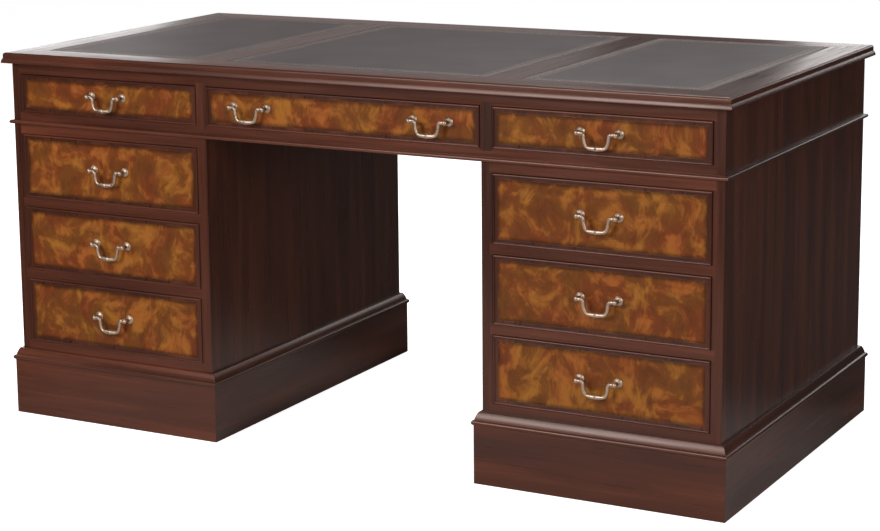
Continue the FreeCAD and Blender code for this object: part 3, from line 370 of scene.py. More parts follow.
def burr_walnut(edged=True):
    """Polished burr walnut veneer: golden swirls, soft dark clouds and eyes, and a darker edge."""
    name = "polished_burr_walnut_field" if edged else "polished_burr_walnut_panel"
    if name in bpy.data.materials:
        return bpy.data.materials[name]
    material, tree, place = new_material(name)
    looks = finish()
    # The veneer's figure is bent in swirls of 85 mm, so that each drawer has clouds of its own.
    swirl = add_node(tree, "TexNoise", {"Vector": place, "Scale": 1 / (85 * MM), "Detail": 1})
    bend = {0: swirl.outputs["Color"], 1: (0.09, 0.09, 0.09), 2: place}
    bent = add_node(tree, "VectorMath", bend, operation="MULTIPLY_ADD")
    clouds = {"Vector": bent, "Scale": 1 / (34 * MM), "Detail": 3, "Roughness": 0.5}
    cloud = add_node(tree, "TexNoise", clouds)
    drawn = add_node(tree, "Mapping", {"Vector": bent, "Scale": grain_scale(Z_AXIS, 8, 20)})
    curls = {"Vector": drawn, "Scale": 1, "Detail": 3, "Roughness": 0.6, "Distortion": 0.8}
    curl = add_node(tree, "TexNoise", curls)
    sheet = add_node(tree, "TexNoise", {"Vector": place, "Scale": 1 / (330 * MM), "Detail": 0})
    blend = add_node(tree, "Math", {0: curl, 1: 0.4, 2: cloud}, operation="MULTIPLY_ADD")
    toned = add_node(tree, "Math", {0: sheet, 1: 0.25, 2: blend}, operation="MULTIPLY_ADD")
    tones = ((0.60, looks.burr_dark), (1.0, looks.burr_light), (0.82, looks.burr_mid))
    body = add_node(tree, "ValToRGB", {"Fac": toned}, stops=tones)
    # Eyes are 1 to 2 mm pips, in clusters where the cloud is dark; they are drawn 3 mm across.
    eyes = add_node(tree, "TexVoronoi", {"Vector": bent, "Scale": 1 / (9 * MM)})
    pips = add_node(tree, "MapRange", {0: eyes, 1: 0.05, 2: 0.30, 3: 0.7, 4: 1.0})
    clusters = add_node(tree, "MapRange", {0: cloud, 1: 0.36, 2: 0.48, 3: 1.0, 4: 0.0})
    figured = add_node(tree, "Mix", {0: clusters, 6: body, 7: pips}, **MULTIPLIED)
    # Two maps hold how far a spot is from a drawer field's lower left and upper right corners.
    near, far = (add_node(tree, "UVMap", uv_map=corner) for corner in FIELD_MAPS)
    closer = add_node(tree, "VectorMath", {0: near, 1: far}, operation="MINIMUM")
    apart = add_node(tree, "SeparateXYZ", {0: closer}).outputs
    inset = add_node(tree, "Math", {0: apart[0], 1: apart[1]}, operation="MINIMUM")
    edge = 0.45 if edged else 1.0
    shade = add_node(
        tree, "MapRange", {0: inset, 1: 0, 2: sizes().burr_shade, 3: edge, 4: 1.0},
        interpolation_type="SMOOTHSTEP",
    )
    # Some patches are redder, some more golden.
    patch = add_node(tree, "TexNoise", {"Vector": bent, "Scale": 1 / (60 * MM), "Detail": 1})
    hue = add_node(tree, "MapRange", {0: patch, 1: 0.35, 2: 0.65, 3: 0.492, 4: 0.507})
    tinted = add_node(tree, "HueSaturation", {"Hue": hue, "Color": figured.outputs[2]})
    colour = add_node(tree, "Mix", {0: 1.0, 6: tinted, 7: shade}, **MULTIPLIED)
    gloss = add_node(tree, "MapRange", {0: curl, 1: 0.3, 2: 0.7, 3: 0.30, 4: 0.40})
    relief = add_node(tree, "Bump", {"Height": curl, "Distance": 0.05 * MM, "Strength": 0.3})
    surface = add_node(tree, "BsdfPrincipled", {
        "Base Color": colour.outputs[2],
        "Roughness": gloss,
        "Normal": relief,
        "IOR": POLISH_IOR,
        "Specular IOR Level": 0.15,
    })
    add_node(tree, "OutputMaterial", {"Surface": surface})
    return material


def waxed_lining(axis):
    """Plain ash for drawer linings, planed and waxed: pale, dull and straight in the grain."""
    name = f"waxed_lining_ash_{'xyz'[axis]}"
    if name in bpy.data.materials:
        return bpy.data.materials[name]
    material, tree, place = new_material(name)
    found = grain_patterns(tree, place, axis, (("growth", 9, 260, 2), ("fibre", 1.6, 40, 1)))
    light = finish().lining
    dark = [channel * 0.62 for channel in light]
    blend = add_node(
        tree, "Math", {0: found["fibre"], 1: 0.4, 2: found["growth"]}, operation="MULTIPLY_ADD"
    )
    body = add_node(tree, "ValToRGB", {"Fac": blend}, stops=((0.55, dark), (0.82, light)))
    relief = add_node(
        tree, "Bump", {"Height": found["fibre"], "Distance": 0.06 * MM, "Strength": 0.5}
    )
    surface = add_node(tree, "BsdfPrincipled", {
        "Base Color": body,
        "Roughness": 0.55,
        "Normal": relief,
        "Specular IOR Level": 0.3,
    })
    add_node(tree, "OutputMaterial", {"Surface": surface})
    return material


def tooled_hide(name, middle, half_length, half_depth):
    """Dyed skiver leather, glued flush and tooled in gold: fine pebble, dull sheen, gilt lines."""
    material, tree, place = new_material(f"tooled_hide_{name}")
    looks, work = finish(), sizes()
    apart = add_node(tree, "SeparateXYZ", {0: place}).outputs
    insets = []
    for spot, centre, half in ((apart[0], middle, half_length), (apart[1], 0, half_depth)):
        shifted = add_node(tree, "Math", {0: spot, 1: centre}, operation="SUBTRACT")
        folded = add_node(tree, "Math", {0: shifted}, operation="ABSOLUTE")
        insets.append(add_node(tree, "Math", {0: half, 1: folded}, operation="SUBTRACT"))
    both = dict(enumerate(insets))
    inset = add_node(tree, "Math", both, operation="MINIMUM")
    at_end = add_node(tree, "Math", both, operation="LESS_THAN")
    run = add_node(tree, "Mix", {0: at_end, 2: apart[0], 3: apart[1]}, data_type="FLOAT")
    # A plain gilt line, and outside it a roll of small lozenges between two finer lines.
    masks = []
    half_roll, finer = work.roll_width / 2, work.tool_line * FINE_LINE
    for line, width in (
        (work.tool_inset, work.tool_line),
        (work.roll_inset - half_roll, finer),
        (work.roll_inset + half_roll, finer),
    ):
        away = add_node(tree, "Math", {0: inset, 1: line}, operation="SUBTRACT")
        size = add_node(tree, "Math", {0: away}, operation="ABSOLUTE")
        masks.append(add_node(tree, "Math", {0: size, 1: width / 2}, operation="LESS_THAN"))
    step = add_node(tree, "Math", {0: run, 1: LOZENGE_PITCH / 2}, operation="PINGPONG")
    across = add_node(tree, "Math", {0: inset, 1: work.roll_inset}, operation="SUBTRACT")
    reach = add_node(tree, "Math", {0: across}, operation="ABSOLUTE")
    lozenge = add_node(tree, "Math", {0: step, 1: reach}, operation="ADD")
    masks.append(add_node(tree, "Math", {0: lozenge, 1: LOZENGE_REACH}, operation="LESS_THAN"))
    gilt = masks[0]
    for mask in masks[1:]:
        gilt = add_node(tree, "Math", {0: gilt, 1: mask}, operation="MAXIMUM")

    # Pebble of the hide is 0.6 mm; it is drawn at 2.2 mm so that it shows.
    pebble = add_node(tree, "TexVoronoi", {"Vector": place, "Scale": 1 / (2.2 * MM)})
    tone = add_node(tree, "TexNoise", {"Vector": place, "Scale": 1 / (130 * MM), "Detail": 4})
    dark = [channel * 0.7 for channel in looks.hide]
    dyed = add_node(tree, "ValToRGB", {"Fac": tone}, stops=((0.35, dark), (0.7, looks.hide)))
    # The gold is worn off in spots of 6 mm.
    worn = add_node(tree, "TexNoise", {"Vector": place, "Scale": 1 / (6 * MM), "Detail": 2})
    kept = add_node(tree, "MapRange", {0: worn, 1: 0.35, 2: 0.55, 3: 0.25, 4: 0.75})
    shown = add_node(tree, "Math", {0: gilt, 1: kept}, operation="MULTIPLY")
    coats = {0: shown, 6: dyed, 7: opaque(looks.gilt)}
    colour = add_node(tree, "Mix", coats, data_type="RGBA")
    height = add_node(tree, "Math", {0: gilt, 1: -1.5, 2: pebble}, operation="MULTIPLY_ADD")
    relief = add_node(tree, "Bump", {"Height": height, "Distance": 0.15 * MM, "Strength": 0.5})
    surface = add_node(tree, "BsdfPrincipled", {
        "Base Color": colour.outputs[2],
        "Metallic": shown,
        "Roughness": 0.5,
        "Normal": relief,
        "Specular IOR Level": 0.3,
    })
    add_node(tree, "OutputMaterial", {"Surface": surface})
    return material


def antique_brass():
    """Cast brass, polished, lacquered and aged: soft highlights, brown in the hollows."""
    name = "antique_cast_brass"
    if name in bpy.data.materials:
        return bpy.data.materials[name]
    material, tree, place = new_material(name)
    looks = finish()
    relief = add_node(tree, "NewGeometry").outputs["Pointiness"]
    blotch = add_node(tree, "TexNoise", {"Vector": place, "Scale": 1 / (5 * MM), "Detail": 3})
    aged = add_node(tree, "Math", {0: blotch, 1: 0.12, 2: relief}, operation="MULTIPLY_ADD")
    tones = ((0.49, looks.patina), (0.58, looks.brass))
    surface = add_node(tree, "BsdfPrincipled", {
        "Base Color": add_node(tree, "ValToRGB", {"Fac": aged}, stops=tones),
        "Metallic": 1,
        "Roughness": add_node(tree, "MapRange", {0: blotch, 1: 0.3, 2: 0.7, 3: 0.38, 4: 0.52}),
    })
    add_node(tree, "OutputMaterial", {"Surface": surface})
    return material


def studio_floor():
    """Pale studio paper: lit by the lamps, lifted to white where it is seen, dim in a far gloss."""
    material, tree, place = new_material("studio_paper")
    light = finish().floor
    dark = [channel * 0.985 for channel in light]
    grain = add_node(tree, "TexNoise", {"Vector": place, "Scale": 1 / (25 * MM), "Detail": 2})
    body = add_node(tree, "ValToRGB", {"Fac": grain}, stops=((0.3, dark), (0.7, light)))
    path = add_node(tree, "LightPath").outputs
    # The paper ends beside the desk; what a polished face mirrors beyond it is the dark room.
    oval = {"Vector": place, "Location": PAPER_SHIFT, "Scale": PAPER_SCALE}
    reach = add_node(tree, "Mapping", oval)
    sheet = add_node(tree, "TexGradient", {"Vector": reach}, gradient_type="SPHERICAL")
    ends = {0: sheet.outputs["Fac"], 1: 0.35, 2: 0.55, 3: 0.88, 4: 0.0}
    beyond = add_node(tree, "MapRange", ends)
    room = add_node(tree, "Math", {0: beyond, 1: path["Is Glossy Ray"]}, operation="MULTIPLY")
    colour = add_node(tree, "Mix", {0: room, 6: body, 7: BLACK}, data_type="RGBA")
    lift = add_node(tree, "Math", {0: path["Is Camera Ray"], 1: PAPER_LIFT}, operation="MULTIPLY")
    surface = add_node(tree, "BsdfPrincipled", {
        "Base Color": colour.outputs[2],
        "Emission Color": WHITE,
        "Emission Strength": lift,
        "Roughness": 1,
        "Specular IOR Level": 0,
    })
    add_node(tree, "OutputMaterial", {"Surface": surface})
    return material


# ---------------------------------------------------------------- mesh pieces


def arc(centre, radius, start, end, steps):
    """Points of a profile on an arc, its angles in degrees."""
    points = []
    for step in range(steps + 1):
        angle = math.radians(start + (end - start) * step / steps)
        out = centre[0] + radius * math.cos(angle)
        points.append((out, centre[1] + radius * math.sin(angle)))
    return points


def mitred_ring(shape, half_a, half_b, profile, place, grain=(0, 1)):
    """Sweeps a closed profile of (out, height) round a rectangle, mitred at its corners."""
    rows = []
    for sign_a, sign_b in ((-1, -1), (1, -1), (1, 1), (-1, 1)):
        row = []
        for out, height in profile:
            spot = Vector((sign_a * (half_a + out), sign_b * (half_b + out), height))
            row.append(shape.verts.new(place @ spot))
        rows.append(row)
    for side in range(4):
        here, there = rows[side], rows[(side + 1) % 4]
        for point in range(len(profile)):
            after = (point + 1) % len(profile)
            face = shape.faces.new((here[point], there[point], there[after], here[after]))
            face.material_index = grain[side % 2]
            face.smooth = True


def turned(shape, profile, place, segments=40):
    """Revolves a profile of (radius, height) about its own axis; radius 0 closes an end."""
    rings = []
    for radius, height in profile:
        if radius == 0:
            rings.append([shape.verts.new(place @ Vector((0, 0, height)))])
            continue
        ring = []
        for step in range(segments):
            angle = 2 * math.pi * step / segments
            spot = Vector((radius * math.cos(angle), radius * math.sin(angle), height))
            ring.append(shape.verts.new(place @ spot))
        rings.append(ring)
    for low, high in zip(rings, rings[1:]):
        for step in range(segments):
            after = (step + 1) % segments
            corners = [low[step % len(low)], low[after % len(low)]]
            corners += [high[after % len(high)], high[step % len(high)]]
            distinct = list(dict.fromkeys(corners))
            shape.faces.new(distinct).smooth = True


def swept_rod(shape, centres, radii, place, sides=20):
    """A round bar along points in the XZ plane, its radius given at each of them."""
    rings = []
    for number, (centre, radius) in enumerate(zip(centres, radii)):
        before = centres[max(number - 1, 0)]
        after = centres[min(number + 1, len(centres) - 1)]
        along = (after - before).normalized()
        outward = Vector((0, 1, 0)).cross(along)
        ring = []
        for step in range(sides):
            angle = 2 * math.pi * step / sides
            offset = outward * math.cos(angle) + Vector((0, 1, 0)) * math.sin(angle)
            ring.append(shape.verts.new(place @ (centre + offset * radius)))
        rings.append(ring)
    for low, high in zip(rings, rings[1:]):
        for step in range(sides):
            after = (step + 1) % sides
            shape.faces.new((low[step], low[after], high[after], high[step])).smooth = True
    for ring in (rings[0], rings[-1]):
        shape.faces.new(ring)


def plain_board(shape, low, high, grain=0, ease=0):
    """A board between two corners, with its edges eased."""
    made = bmesh.ops.create_cube(shape, size=1)["verts"]
    middle, size = (low + high) / 2, high - low
    for vert in made:
        vert.co = Vector(middle[k] + vert.co[k] * size[k] for k in range(3))
    faces = {face for vert in made for face in vert.link_faces}
    for face in faces:
        face.material_index = grain
    if ease:
        edges = list({edge for vert in made for edge in vert.link_edges})
        bmesh.ops.bevel(shape, geom=edges, offset=ease, segments=2, affect="EDGES", profile=0.5)


def finish_mesh(shape, name):
    """Turns the work into a mesh: faces out, round stretches smooth, corners and joints crisp."""
    bmesh.ops.recalc_face_normals(shape, faces=shape.faces)
    for edge in shape.edges:
        if len(edge.link_faces) != 2:
            continue
        first, second = edge.link_faces
        joint = first.material_index != second.material_index
        edge.smooth = not joint and edge.calc_face_angle() < SHARP_ANGLE
    mesh = bpy.data.meshes.new(name)
    shape.to_mesh(mesh)
    shape.free()
    return mesh


def add_piece(name, shape, body, materials):
    """Makes a piece of the desk on its body, with the materials that its faces point to."""
    mesh = finish_mesh(shape, name)
    for material in materials:
        mesh.materials.append(material)
    piece = bpy.data.objects.new(name, mesh)
    bpy.context.scene.collection.objects.link(piece)
    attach(piece, body)
    return piece


def dress(node, materials, choose):
    """Gives each face of a CAD node the material that choose picks from its middle and normal."""
    piece = frame["nodes"][node]
    piece.data.materials.clear()
    for material in materials:
        piece.data.materials.append(material)
    for face in piece.data.polygons:
        face.material_index = choose(face.center, face.normal)


UPRIGHT = Matrix.Identity(4)


def facing(x, y, z, side):
    """A place on an upright face: its axes run along the desk, up and outward."""
    turn = Matrix(((1, 0, 0), (0, 0, side), (0, 1, 0))).to_4x4()
    return Matrix.Translation((x, y, z)) @ turn


# ---------------------------------------------------------------- top


class DESK_OT_top(bpy.types.Operator):
    """Make the moulded top, its mitred border and the strips between the leathers"""

    bl_idname = "desk.make_top"
    bl_label = "Moulded top"

    def execute(self, context):
        work = sizes()
        low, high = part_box("desk_top")
        upper, nose, border = work.top_round, work.top_nose, work.border
        half_x, half_y = high.x, high.y
        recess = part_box("leather_centre")[0].z
        ease = work.edge_ease
        foot = low.z - work.top_lip
        profile = [(-border, low.z), (-LIP_WIDTH - MM, low.z), (-LIP_WIDTH, foot)]
        profile += arc((-1.2 * ease, foot + ease), ease, -90, 0, 4)
        profile += arc((-nose, low.z - NOSE_DIP), nose, *NOSE_ARC, 9)
        quirk = profile[-1][0] - QUIRK[0]
        profile.append((quirk, profile[-1][1] + QUIRK[1]))
        profile += arc((quirk - upper, high.z - upper), upper, *ROUND_ARC, 12)
        profile += [(-border + ease / 2, high.z), (-border, high.z - ease / 2), (-border, recess)]
        shape = bmesh.new()
        mitred_ring(shape, half_x, half_y, profile, UPRIGHT)
        plain_board(
            shape,
            Vector((border - half_x, border - half_y, low.z)),
            Vector((half_x - border, half_y - border, recess)),
        )
        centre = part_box("leather_centre")[1].x
        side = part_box("leather_right")[0].x
        for near, far in ((centre, side), (-side, -centre)):
            plain_board(
                shape,
                Vector((near, border - half_y, recess)),
                Vector((far, half_y - border, high.z)),
                grain=1,
            )
        woods = [polished_mahogany(X_AXIS), polished_mahogany(Y_AXIS)]
        piece = add_piece("moulded_top", shape, "desk", woods)
        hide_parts("desk_top")
        return {"FINISHED"}


class DESK_OT_leather(bpy.types.Operator):
    """Lay the three tooled leather panels in the top"""

    bl_idname = "desk.lay_leather"
    bl_label = "Tooled leather"

    def execute(self, context):
        for name in LEATHERS:
            low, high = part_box(name)
            shape = bmesh.new()
            plain_board(shape, low, high, ease=sizes().edge_ease)
            middle, half = (low + high) / 2, (high - low) / 2
            hide = tooled_hide(name, middle.x, half.x, half.y)
            piece = add_piece(f"tooled_{name}", shape, "desk", [hide])
            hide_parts(name)
        return {"FINISHED"}


# ---------------------------------------------------------------- carcass


class DESK_OT_carcass(bpy.types.Operator):
    """Finish the frieze, the pedestals and the plinths, each board with its own grain"""

    bl_idname = "desk.finish_carcass"
    bl_label = "Frieze, pedestals and plinths"

    def execute(self, context):
        woods = [polished_mahogany(axis) for axis in (X_AXIS, Y_AXIS, Z_AXIS)]
        woods += [waxed_lining(Y_AXIS), waxed_lining(X_AXIS)]
        lining, cross_lining = 3, 4
        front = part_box("frieze_ends")[1].y
        foot, head = (corner.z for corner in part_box("front_frieze_centre_drawer"))

        def rails_or_dividers(middle, normal):
            return Z_AXIS if foot < middle.z < head else X_AXIS

        def frames(middle, normal):
            if abs(middle.y) >= front - RAIL_DEPTH - MM:
                return X_AXIS
            return cross_lining if abs(normal.y) > MAINLY else lining

        def plinth(middle, normal):
            return Y_AXIS if abs(normal.x) > MAINLY else X_AXIS

        dress("frieze_ends", woods, lambda middle, normal: Z_AXIS)
        dress("frieze_rails_and_dividers", woods, rails_or_dividers)
        dress("frieze_runners", woods, lambda middle, normal: lining)
        for side in ("left", "right"):
            dress(f"{side}_pedestal_sides", woods, lambda middle, normal: Z_AXIS)
            dress(f"{side}_pedestal_frames", woods, frames)
            dress(f"{side}_plinth", woods, plinth)
        dress("cupboard_hinge_leaves", [antique_brass()], lambda middle, normal: 0)
        return {"FINISHED"}


class DESK_OT_mouldings(bpy.types.Operator):
    """Run the bead round the foot of the frieze and the mouldings over the plinths"""

    bl_idname = "desk.run_mouldings"
    bl_label = "Bead and plinth mouldings"

    def execute(self, context):
        woods = [polished_mahogany(X_AXIS), polished_mahogany(Y_AXIS)]
        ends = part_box("frieze_ends")[1]
        low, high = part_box("frieze_bead")
        reach = high.x - ends.x
        nose = (high.z - low.z) / 2
        profile = [(0, low.z)]
        profile += arc((reach - nose, low.z + nose), nose, -90, 90, 12)
        profile.append((0, high.z))
        shape = bmesh.new()
        mitred_ring(shape, ends.x, ends.y, profile, UPRIGHT)
        bead = add_piece("frieze_half_round", shape, "desk", woods)
        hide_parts("frieze_bead")

        shape = bmesh.new()
        nose, ovolo = sizes().plinth_nose, sizes().plinth_ovolo
        low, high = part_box("plinth_mouldings")
        for side in ("left", "right"):
            side_low, side_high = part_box(f"{side}_pedestal_sides")
            half_x, middle = (side_high.x - side_low.x) / 2, (side_high.x + side_low.x) / 2
            reach = high.y - side_high.y
            shelf = low.z + 2 * nose
            start = math.radians(OVOLO_START)
            centre = (reach - nose - ovolo * math.cos(start), shelf - ovolo * math.sin(start))
            end = math.degrees(math.asin((high.z - centre[1]) / ovolo))
            profile = [(0, low.z)]
            profile += arc((reach - nose, low.z + nose), nose, -90, 90, 10)
            profile += arc(centre, ovolo, OVOLO_START, end, 10)
            profile.append((0, high.z))
            place = Matrix.Translation((middle, 0, 0))
            mitred_ring(shape, half_x, side_high.y, profile, place)
        piece = add_piece("plinth_ovolo_mouldings", shape, "desk", woods)
        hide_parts("plinth_mouldings")
        return {"FINISHED"}


# ---------------------------------------------------------------- drawers


def drawer_front(name, side):
    """A drawer's own boards with their veneers, and a round cockbead for the square one."""
    work = sizes()
    node = f"{name}_drawer"
    source = frame["nodes"][node].data
    low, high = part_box(node)
    face = low.y + work.bead_proud if side < 0 else high.y - work.bead_proud
    middle, half = (low + high) / 2, (high - low) / 2
    shape = bmesh.new()
    shape.from_mesh(source)
    maps = [shape.loops.layers.uv.new(corner) for corner in FIELD_MAPS]
    field = (half.x - work.burr_inset, half.z - work.burr_inset)
    mahogany, upright, burr, lining, cross_lining = range(5)
    beads = []
    for wood in shape.faces:
        depths = [side * (face - vert.co.y) for vert in wood.verts]
        at_bead_back = all(abs(depth - work.bead_depth) < CLOSE for depth in depths)
        looks_back = side * wood.normal.y < -MAINLY
        if min(depths) < -CLOSE or (at_bead_back and looks_back):
            beads.append(wood)
            continue
        wood.smooth = False
        in_x = max(abs(vert.co.x - middle.x) for vert in wood.verts) < field[0] + CLOSE
        in_z = max(abs(vert.co.z - middle.z) for vert in wood.verts) < field[1] + CLOSE
        for loop in wood.loops:
            spot = (loop.vert.co.x - middle.x, loop.vert.co.z - middle.z)
            for layer, sign in zip(maps, (1, -1)):
                loop[layer].uv = (field[0] + sign * spot[0], field[1] + sign * spot[1])
        if max(depths) > FRONT_BOARD:
            wood.material_index = cross_lining if abs(wood.normal.y) > MAINLY else lining
        elif max(depths) < CLOSE:
            wood.material_index = burr if in_x and in_z else upright
        else:
            wood.material_index = mahogany
    bmesh.ops.delete(shape, geom=beads, context="FACES")
    loose = [vert for vert in shape.verts if not vert.link_faces]
    bmesh.ops.delete(shape, geom=loose, context="VERTS")

    nose, width = work.bead_nose, work.bead_width
    crown = work.bead_proud - nose
    profile = [(-width, -work.bead_depth)]
    profile += arc((-width / 2, crown), nose, 180, 0, 8)
    profile.append((0, -work.bead_depth))
    mitred_ring(
        shape, half.x, half.z, profile, facing(middle.x, face, middle.z, side), (mahogany, upright)
    )
    woods = [polished_mahogany(X_AXIS), polished_mahogany(Z_AXIS), burr_walnut()]
    woods += [waxed_lining(Y_AXIS), waxed_lining(X_AXIS)]
    piece = add_piece(f"{name}_cabinet_drawer", shape, f"{name}_drawer_body", woods)
    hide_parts(node)


class DESK_OT_drawers(bpy.types.Operator):
    """Veneer the twelve drawers and bead their fronts"""

    bl_idname = "desk.make_drawers"
    bl_label = "Drawers"

    def execute(self, context):
        for name, side in DRAWERS:
            drawer_front(name, side)
        return {"FINISHED"}


# ---------------------------------------------------------------- brass


def post_profile():
    """A cast post from the drawer's face out: domed rose, collar, neck and ball."""
    work = sizes()
    rose, neck, ball, stand = work.rose, work.neck, work.ball, work.stand_off
    dome = (rose ** 2 + DOME ** 2) / (2 * DOME)
    edge = math.degrees(math.asin((dome - DOME) / dome))
    profile = [(0, 0), (rose - ROSE_RIM, 0), (rose, ROSE_RIM), (rose, DOME_FOOT)]
    profile += arc((0, DOME_FOOT + DOME - dome), dome, edge, DOME_END, 8)
    collar = profile[-1][1] + COLLAR_UP
    profile += arc((neck + COLLAR_OUT, collar), COLLAR, *COLLAR_ARC, 5)
    profile.append((neck, collar + NECK_START))
    start = math.degrees(math.acos(neck / ball))
    profile += arc((0, stand), ball, -start, BALL_END, 14)
    profile.append((0, stand + ball))
    return profile


def ring_height(spot, ring):
    """How far a ring cast on a bail stands up at a spot."""
    out, width, height = ring
    return height * math.exp(-((abs(spot.x) - out) / width) ** 2)


def bail_line():
    """Centre line and radius of a swan-neck bail, from one ball to the other."""
    work = sizes()
    arm, grip, drop = work.bail, work.grip, work.drop
    half = []
    for curve in BAIL_CURVES:
        corners = [Vector((x * MM, 0, z * drop / BAIL_DROP)) for x, z in curve]
        half += interpolate_bezier(*corners, CURVE_STEPS + 1)[:-1]
    other = [Vector((-spot.x, 0, spot.z)) for spot in reversed(half)]
    centres = half + [Vector((0, 0, -drop))] + other
    radii = []
    for spot in centres:
        radius = arm + ring_height(spot, ARM_RING)
        if spot.z < -drop / 2:
            swell = max(0, 1 - (spot.x / SWELL_REACH) ** 2)
            radius += (grip - arm) * SWELL * swell + ring_height(spot, GRIP_RING)
        radii.append(radius)
    return centres, radii


class DESK_OT_pulls(bpy.types.Operator):
    """Cast the swan-neck pulls: two posts and a swinging bail each"""

    bl_idname = "desk.cast_pulls"
    bl_label = "Swan-neck pulls"

    def execute(self, context):
        work = sizes()
        brass = antique_brass()
        pivots = {joint["child"]: joint.get("pos_m") for joint in frame["joints"]}
        for name, side in DRAWERS:
            bails = [f"{name}_bail"]
            if bails[0] not in frame["nodes"]:
                bails = [f"{name}_left_bail", f"{name}_right_bail"]
            posts = bmesh.new()
            for bail in bails:
                pivot = Vector(pivots[f"{bail}_body"])
                shape = bmesh.new()
                swept_rod(shape, *bail_line(), Matrix.Translation(pivot))
                piece = add_piece(f"{bail}_swan_neck", shape, f"{bail}_body", [brass])
                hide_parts(bail)
                face = pivot.y - side * work.stand_off
                for hand in (-1, 1):
                    x = pivot.x + hand * work.post_spacing / 2
                    turned(posts, post_profile(), facing(x, face, pivot.z, side))
            piece = add_piece(f"{name}_cast_posts", posts, f"{name}_drawer_body", [brass])
            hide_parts(f"{name}_pull_posts")
        return {"FINISHED"}


# ---------------------------------------------------------------- doors


class DESK_OT_doors(bpy.types.Operator):
    """Finish the two cupboard doors and turn their knobs"""

    bl_idname = "desk.make_doors"
    bl_label = "Cupboard doors"

    def execute(self, context):
        woods = [polished_mahogany(X_AXIS), polished_mahogany(Z_AXIS), burr_walnut(edged=False)]
        brass = antique_brass()
        for side in ("left", "right"):
            low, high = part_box(f"{side}_door")

            def frame_or_panel(middle, normal):
                in_x = low.x + DOOR_STILE < middle.x < high.x - DOOR_STILE
                in_z = low.z + DOOR_STILE < middle.z < high.z - DOOR_STILE
                if in_x and in_z and middle.y < high.y - 2 * MM:
                    return 2
                return 0 if in_x else 1

            dress(f"{side}_door", woods, frame_or_panel)
            dress(f"{side}_door_hinge_leaves", [brass], lambda middle, normal: 0)
            self.make_knob(side, brass)
        return {"FINISHED"}

    def make_knob(self, side, brass):
        low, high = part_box(f"{side}_door_knob")
        radius, reach = sizes().knob, high.y - low.y
        middle = (low + high) / 2
        profile = [(radius * share, height) for share, height in KNOB_FOOT]
        profile += [(radius * share, reach * along) for share, along in KNOB_HEAD]
        shape = bmesh.new()
        turned(shape, profile, facing(middle.x, low.y, middle.z, 1))
        piece = add_piece(f"{side}_turned_knob", shape, f"{side}_door_body", [brass])
        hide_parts(f"{side}_door_knob")


# ---------------------------------------------------------------- stage


def soft_box(name, place, target, width, height, power):
    """A rectangular soft box that lights the desk and isn't itself in the picture."""
    lamp = bpy.data.lights.new(name, "AREA")
    lamp.shape = "RECTANGLE"
    lamp.size, lamp.size_y = width, height
    lamp.energy = power
    box = bpy.data.objects.new(name, lamp)
    bpy.context.scene.collection.objects.link(box)
    aim = (Vector(target) - Vector(place)).to_track_quat("-Z", "Y")
    box.matrix_world = Matrix.Translation(place) @ aim.to_matrix().to_4x4()
    box.visible_camera = False


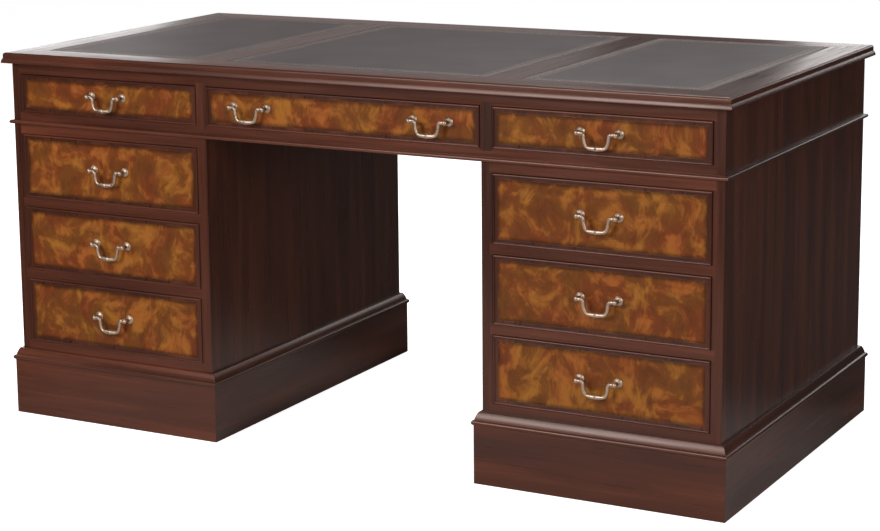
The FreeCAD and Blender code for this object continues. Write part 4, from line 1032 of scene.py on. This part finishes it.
class DESK_OT_stage(bpy.types.Operator):
    """Set the floor, the soft light and the camera"""

    bl_idname = "desk.set_stage"
    bl_label = "Studio"

    def execute(self, context):
        scene = context.scene
        scene.view_settings.view_transform = "Standard"
        self.make_floor(scene)
        self.make_light(scene)
        self.make_camera(scene)
        return {"FINISHED"}

    def make_floor(self, scene):
        shape = bmesh.new()
        far = FLOOR_REACH
        corners = ((-far, -far), (far, -far), (far, far), (-far, far))
        shape.faces.new([shape.verts.new((x, y, FLOOR_LEVEL)) for x, y in corners])
        mesh = finish_mesh(shape, "studio_floor")
        mesh.materials.append(studio_floor())
        floor = bpy.data.objects.new("studio_floor", mesh)
        scene.collection.objects.link(floor)
        floor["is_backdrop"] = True

    def make_light(self, scene):
        stage = scene.desk_stage
        for *box, setting, share in SOFT_BOXES:
            soft_box(*box, getattr(stage, setting) * share)
        world = bpy.data.worlds.new("studio")
        world.use_nodes = True
        tree = world.node_tree
        tree.nodes.clear()
        path = add_node(tree, "LightPath").outputs
        # A polished face mirrors a room that is darker than the bounce that fills its shadows.
        dim = {0: path["Is Glossy Ray"], 3: stage.ambient, 4: stage.ambient * DARK_ROOM}
        fill = add_node(tree, "MapRange", dim)
        room = add_node(tree, "Background", {"Color": WHITE, "Strength": fill})
        white = add_node(tree, "Background", {"Color": WHITE, "Strength": 1})
        both = add_node(tree, "MixShader", {0: path["Is Camera Ray"], 1: room, 2: white})
        add_node(tree, "OutputWorld", {"Surface": both})
        scene.world = world

    def make_camera(self, scene):
        stage = scene.desk_stage
        azimuth, elevation, roll = stage.azimuth, stage.elevation, stage.roll
        level = math.cos(elevation)
        back = Vector((math.sin(azimuth) * level, -math.cos(azimuth) * level, math.sin(elevation)))
        right = (-back).cross(Vector((0, 0, 1))).normalized()
        up = right.cross(-back)
        place = Vector((0, 0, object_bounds()[1][2] / 2)) + back * stage.distance
        place += right * stage.pan + up * stage.rise
        tilted_right = right * math.cos(roll) + up * math.sin(roll)
        tilted_up = up * math.cos(roll) - right * math.sin(roll)
        lens = bpy.data.cameras.new("camera")
        lens.sensor_width = SENSOR_WIDTH
        lens.lens = stage.focal * SENSOR_WIDTH / PICTURE_WIDTH
        lens.shift_x = (PICTURE_WIDTH / 2 - stage.centre_x) / PICTURE_WIDTH
        lens.shift_y = (stage.centre_y - PICTURE_HEIGHT / 2) / PICTURE_WIDTH
        lens.clip_end = 100
        camera = bpy.data.objects.new("camera", lens)
        scene.collection.objects.link(camera)
        turn = Matrix((tilted_right, tilted_up, back)).transposed().to_4x4()
        camera.matrix_world = Matrix.Translation(place) @ turn
        scene.camera = camera


# ---------------------------------------------------------------- panel and registration


class DESK_PT_panel(bpy.types.Panel):
    """Lists what the desk is made of, in the order of its making"""

    bl_idname = "DESK_PT_panel"
    bl_label = "Partners desk"
    bl_space_type = "VIEW_3D"
    bl_region_type = "UI"
    bl_category = "Desk"

    def draw(self, context):
        for step in STEPS:
            self.layout.operator(step.bl_idname, text=step.bl_label)
        for group in ("desk_finish", "desk_sizes", "desk_stage"):
            settings = getattr(context.scene, group)
            column = self.layout.column()
            for name in settings.__annotations__:
                column.prop(settings, name)


STEPS = (
    DESK_OT_stage,
    DESK_OT_top,
    DESK_OT_leather,
    DESK_OT_carcass,
    DESK_OT_mouldings,
    DESK_OT_drawers,
    DESK_OT_pulls,
    DESK_OT_doors,
)
CLASSES = (DeskFinish, DeskSizes, DeskStage, DESK_PT_panel) + STEPS


def register():
    for item in CLASSES:
        bpy.utils.register_class(item)
    bpy.types.Scene.desk_finish = PointerProperty(type=DeskFinish)
    bpy.types.Scene.desk_sizes = PointerProperty(type=DeskSizes)
    bpy.types.Scene.desk_stage = PointerProperty(type=DeskStage)


def unregister():
    del bpy.types.Scene.desk_finish
    del bpy.types.Scene.desk_sizes
    del bpy.types.Scene.desk_stage
    for item in reversed(CLASSES):
        bpy.utils.unregister_class(item)


def main():
    register()
    for step in STEPS:
        group, name = step.bl_idname.split(".")
        getattr(getattr(bpy.ops, group), name)()


if __name__ == "__main__":
    main()
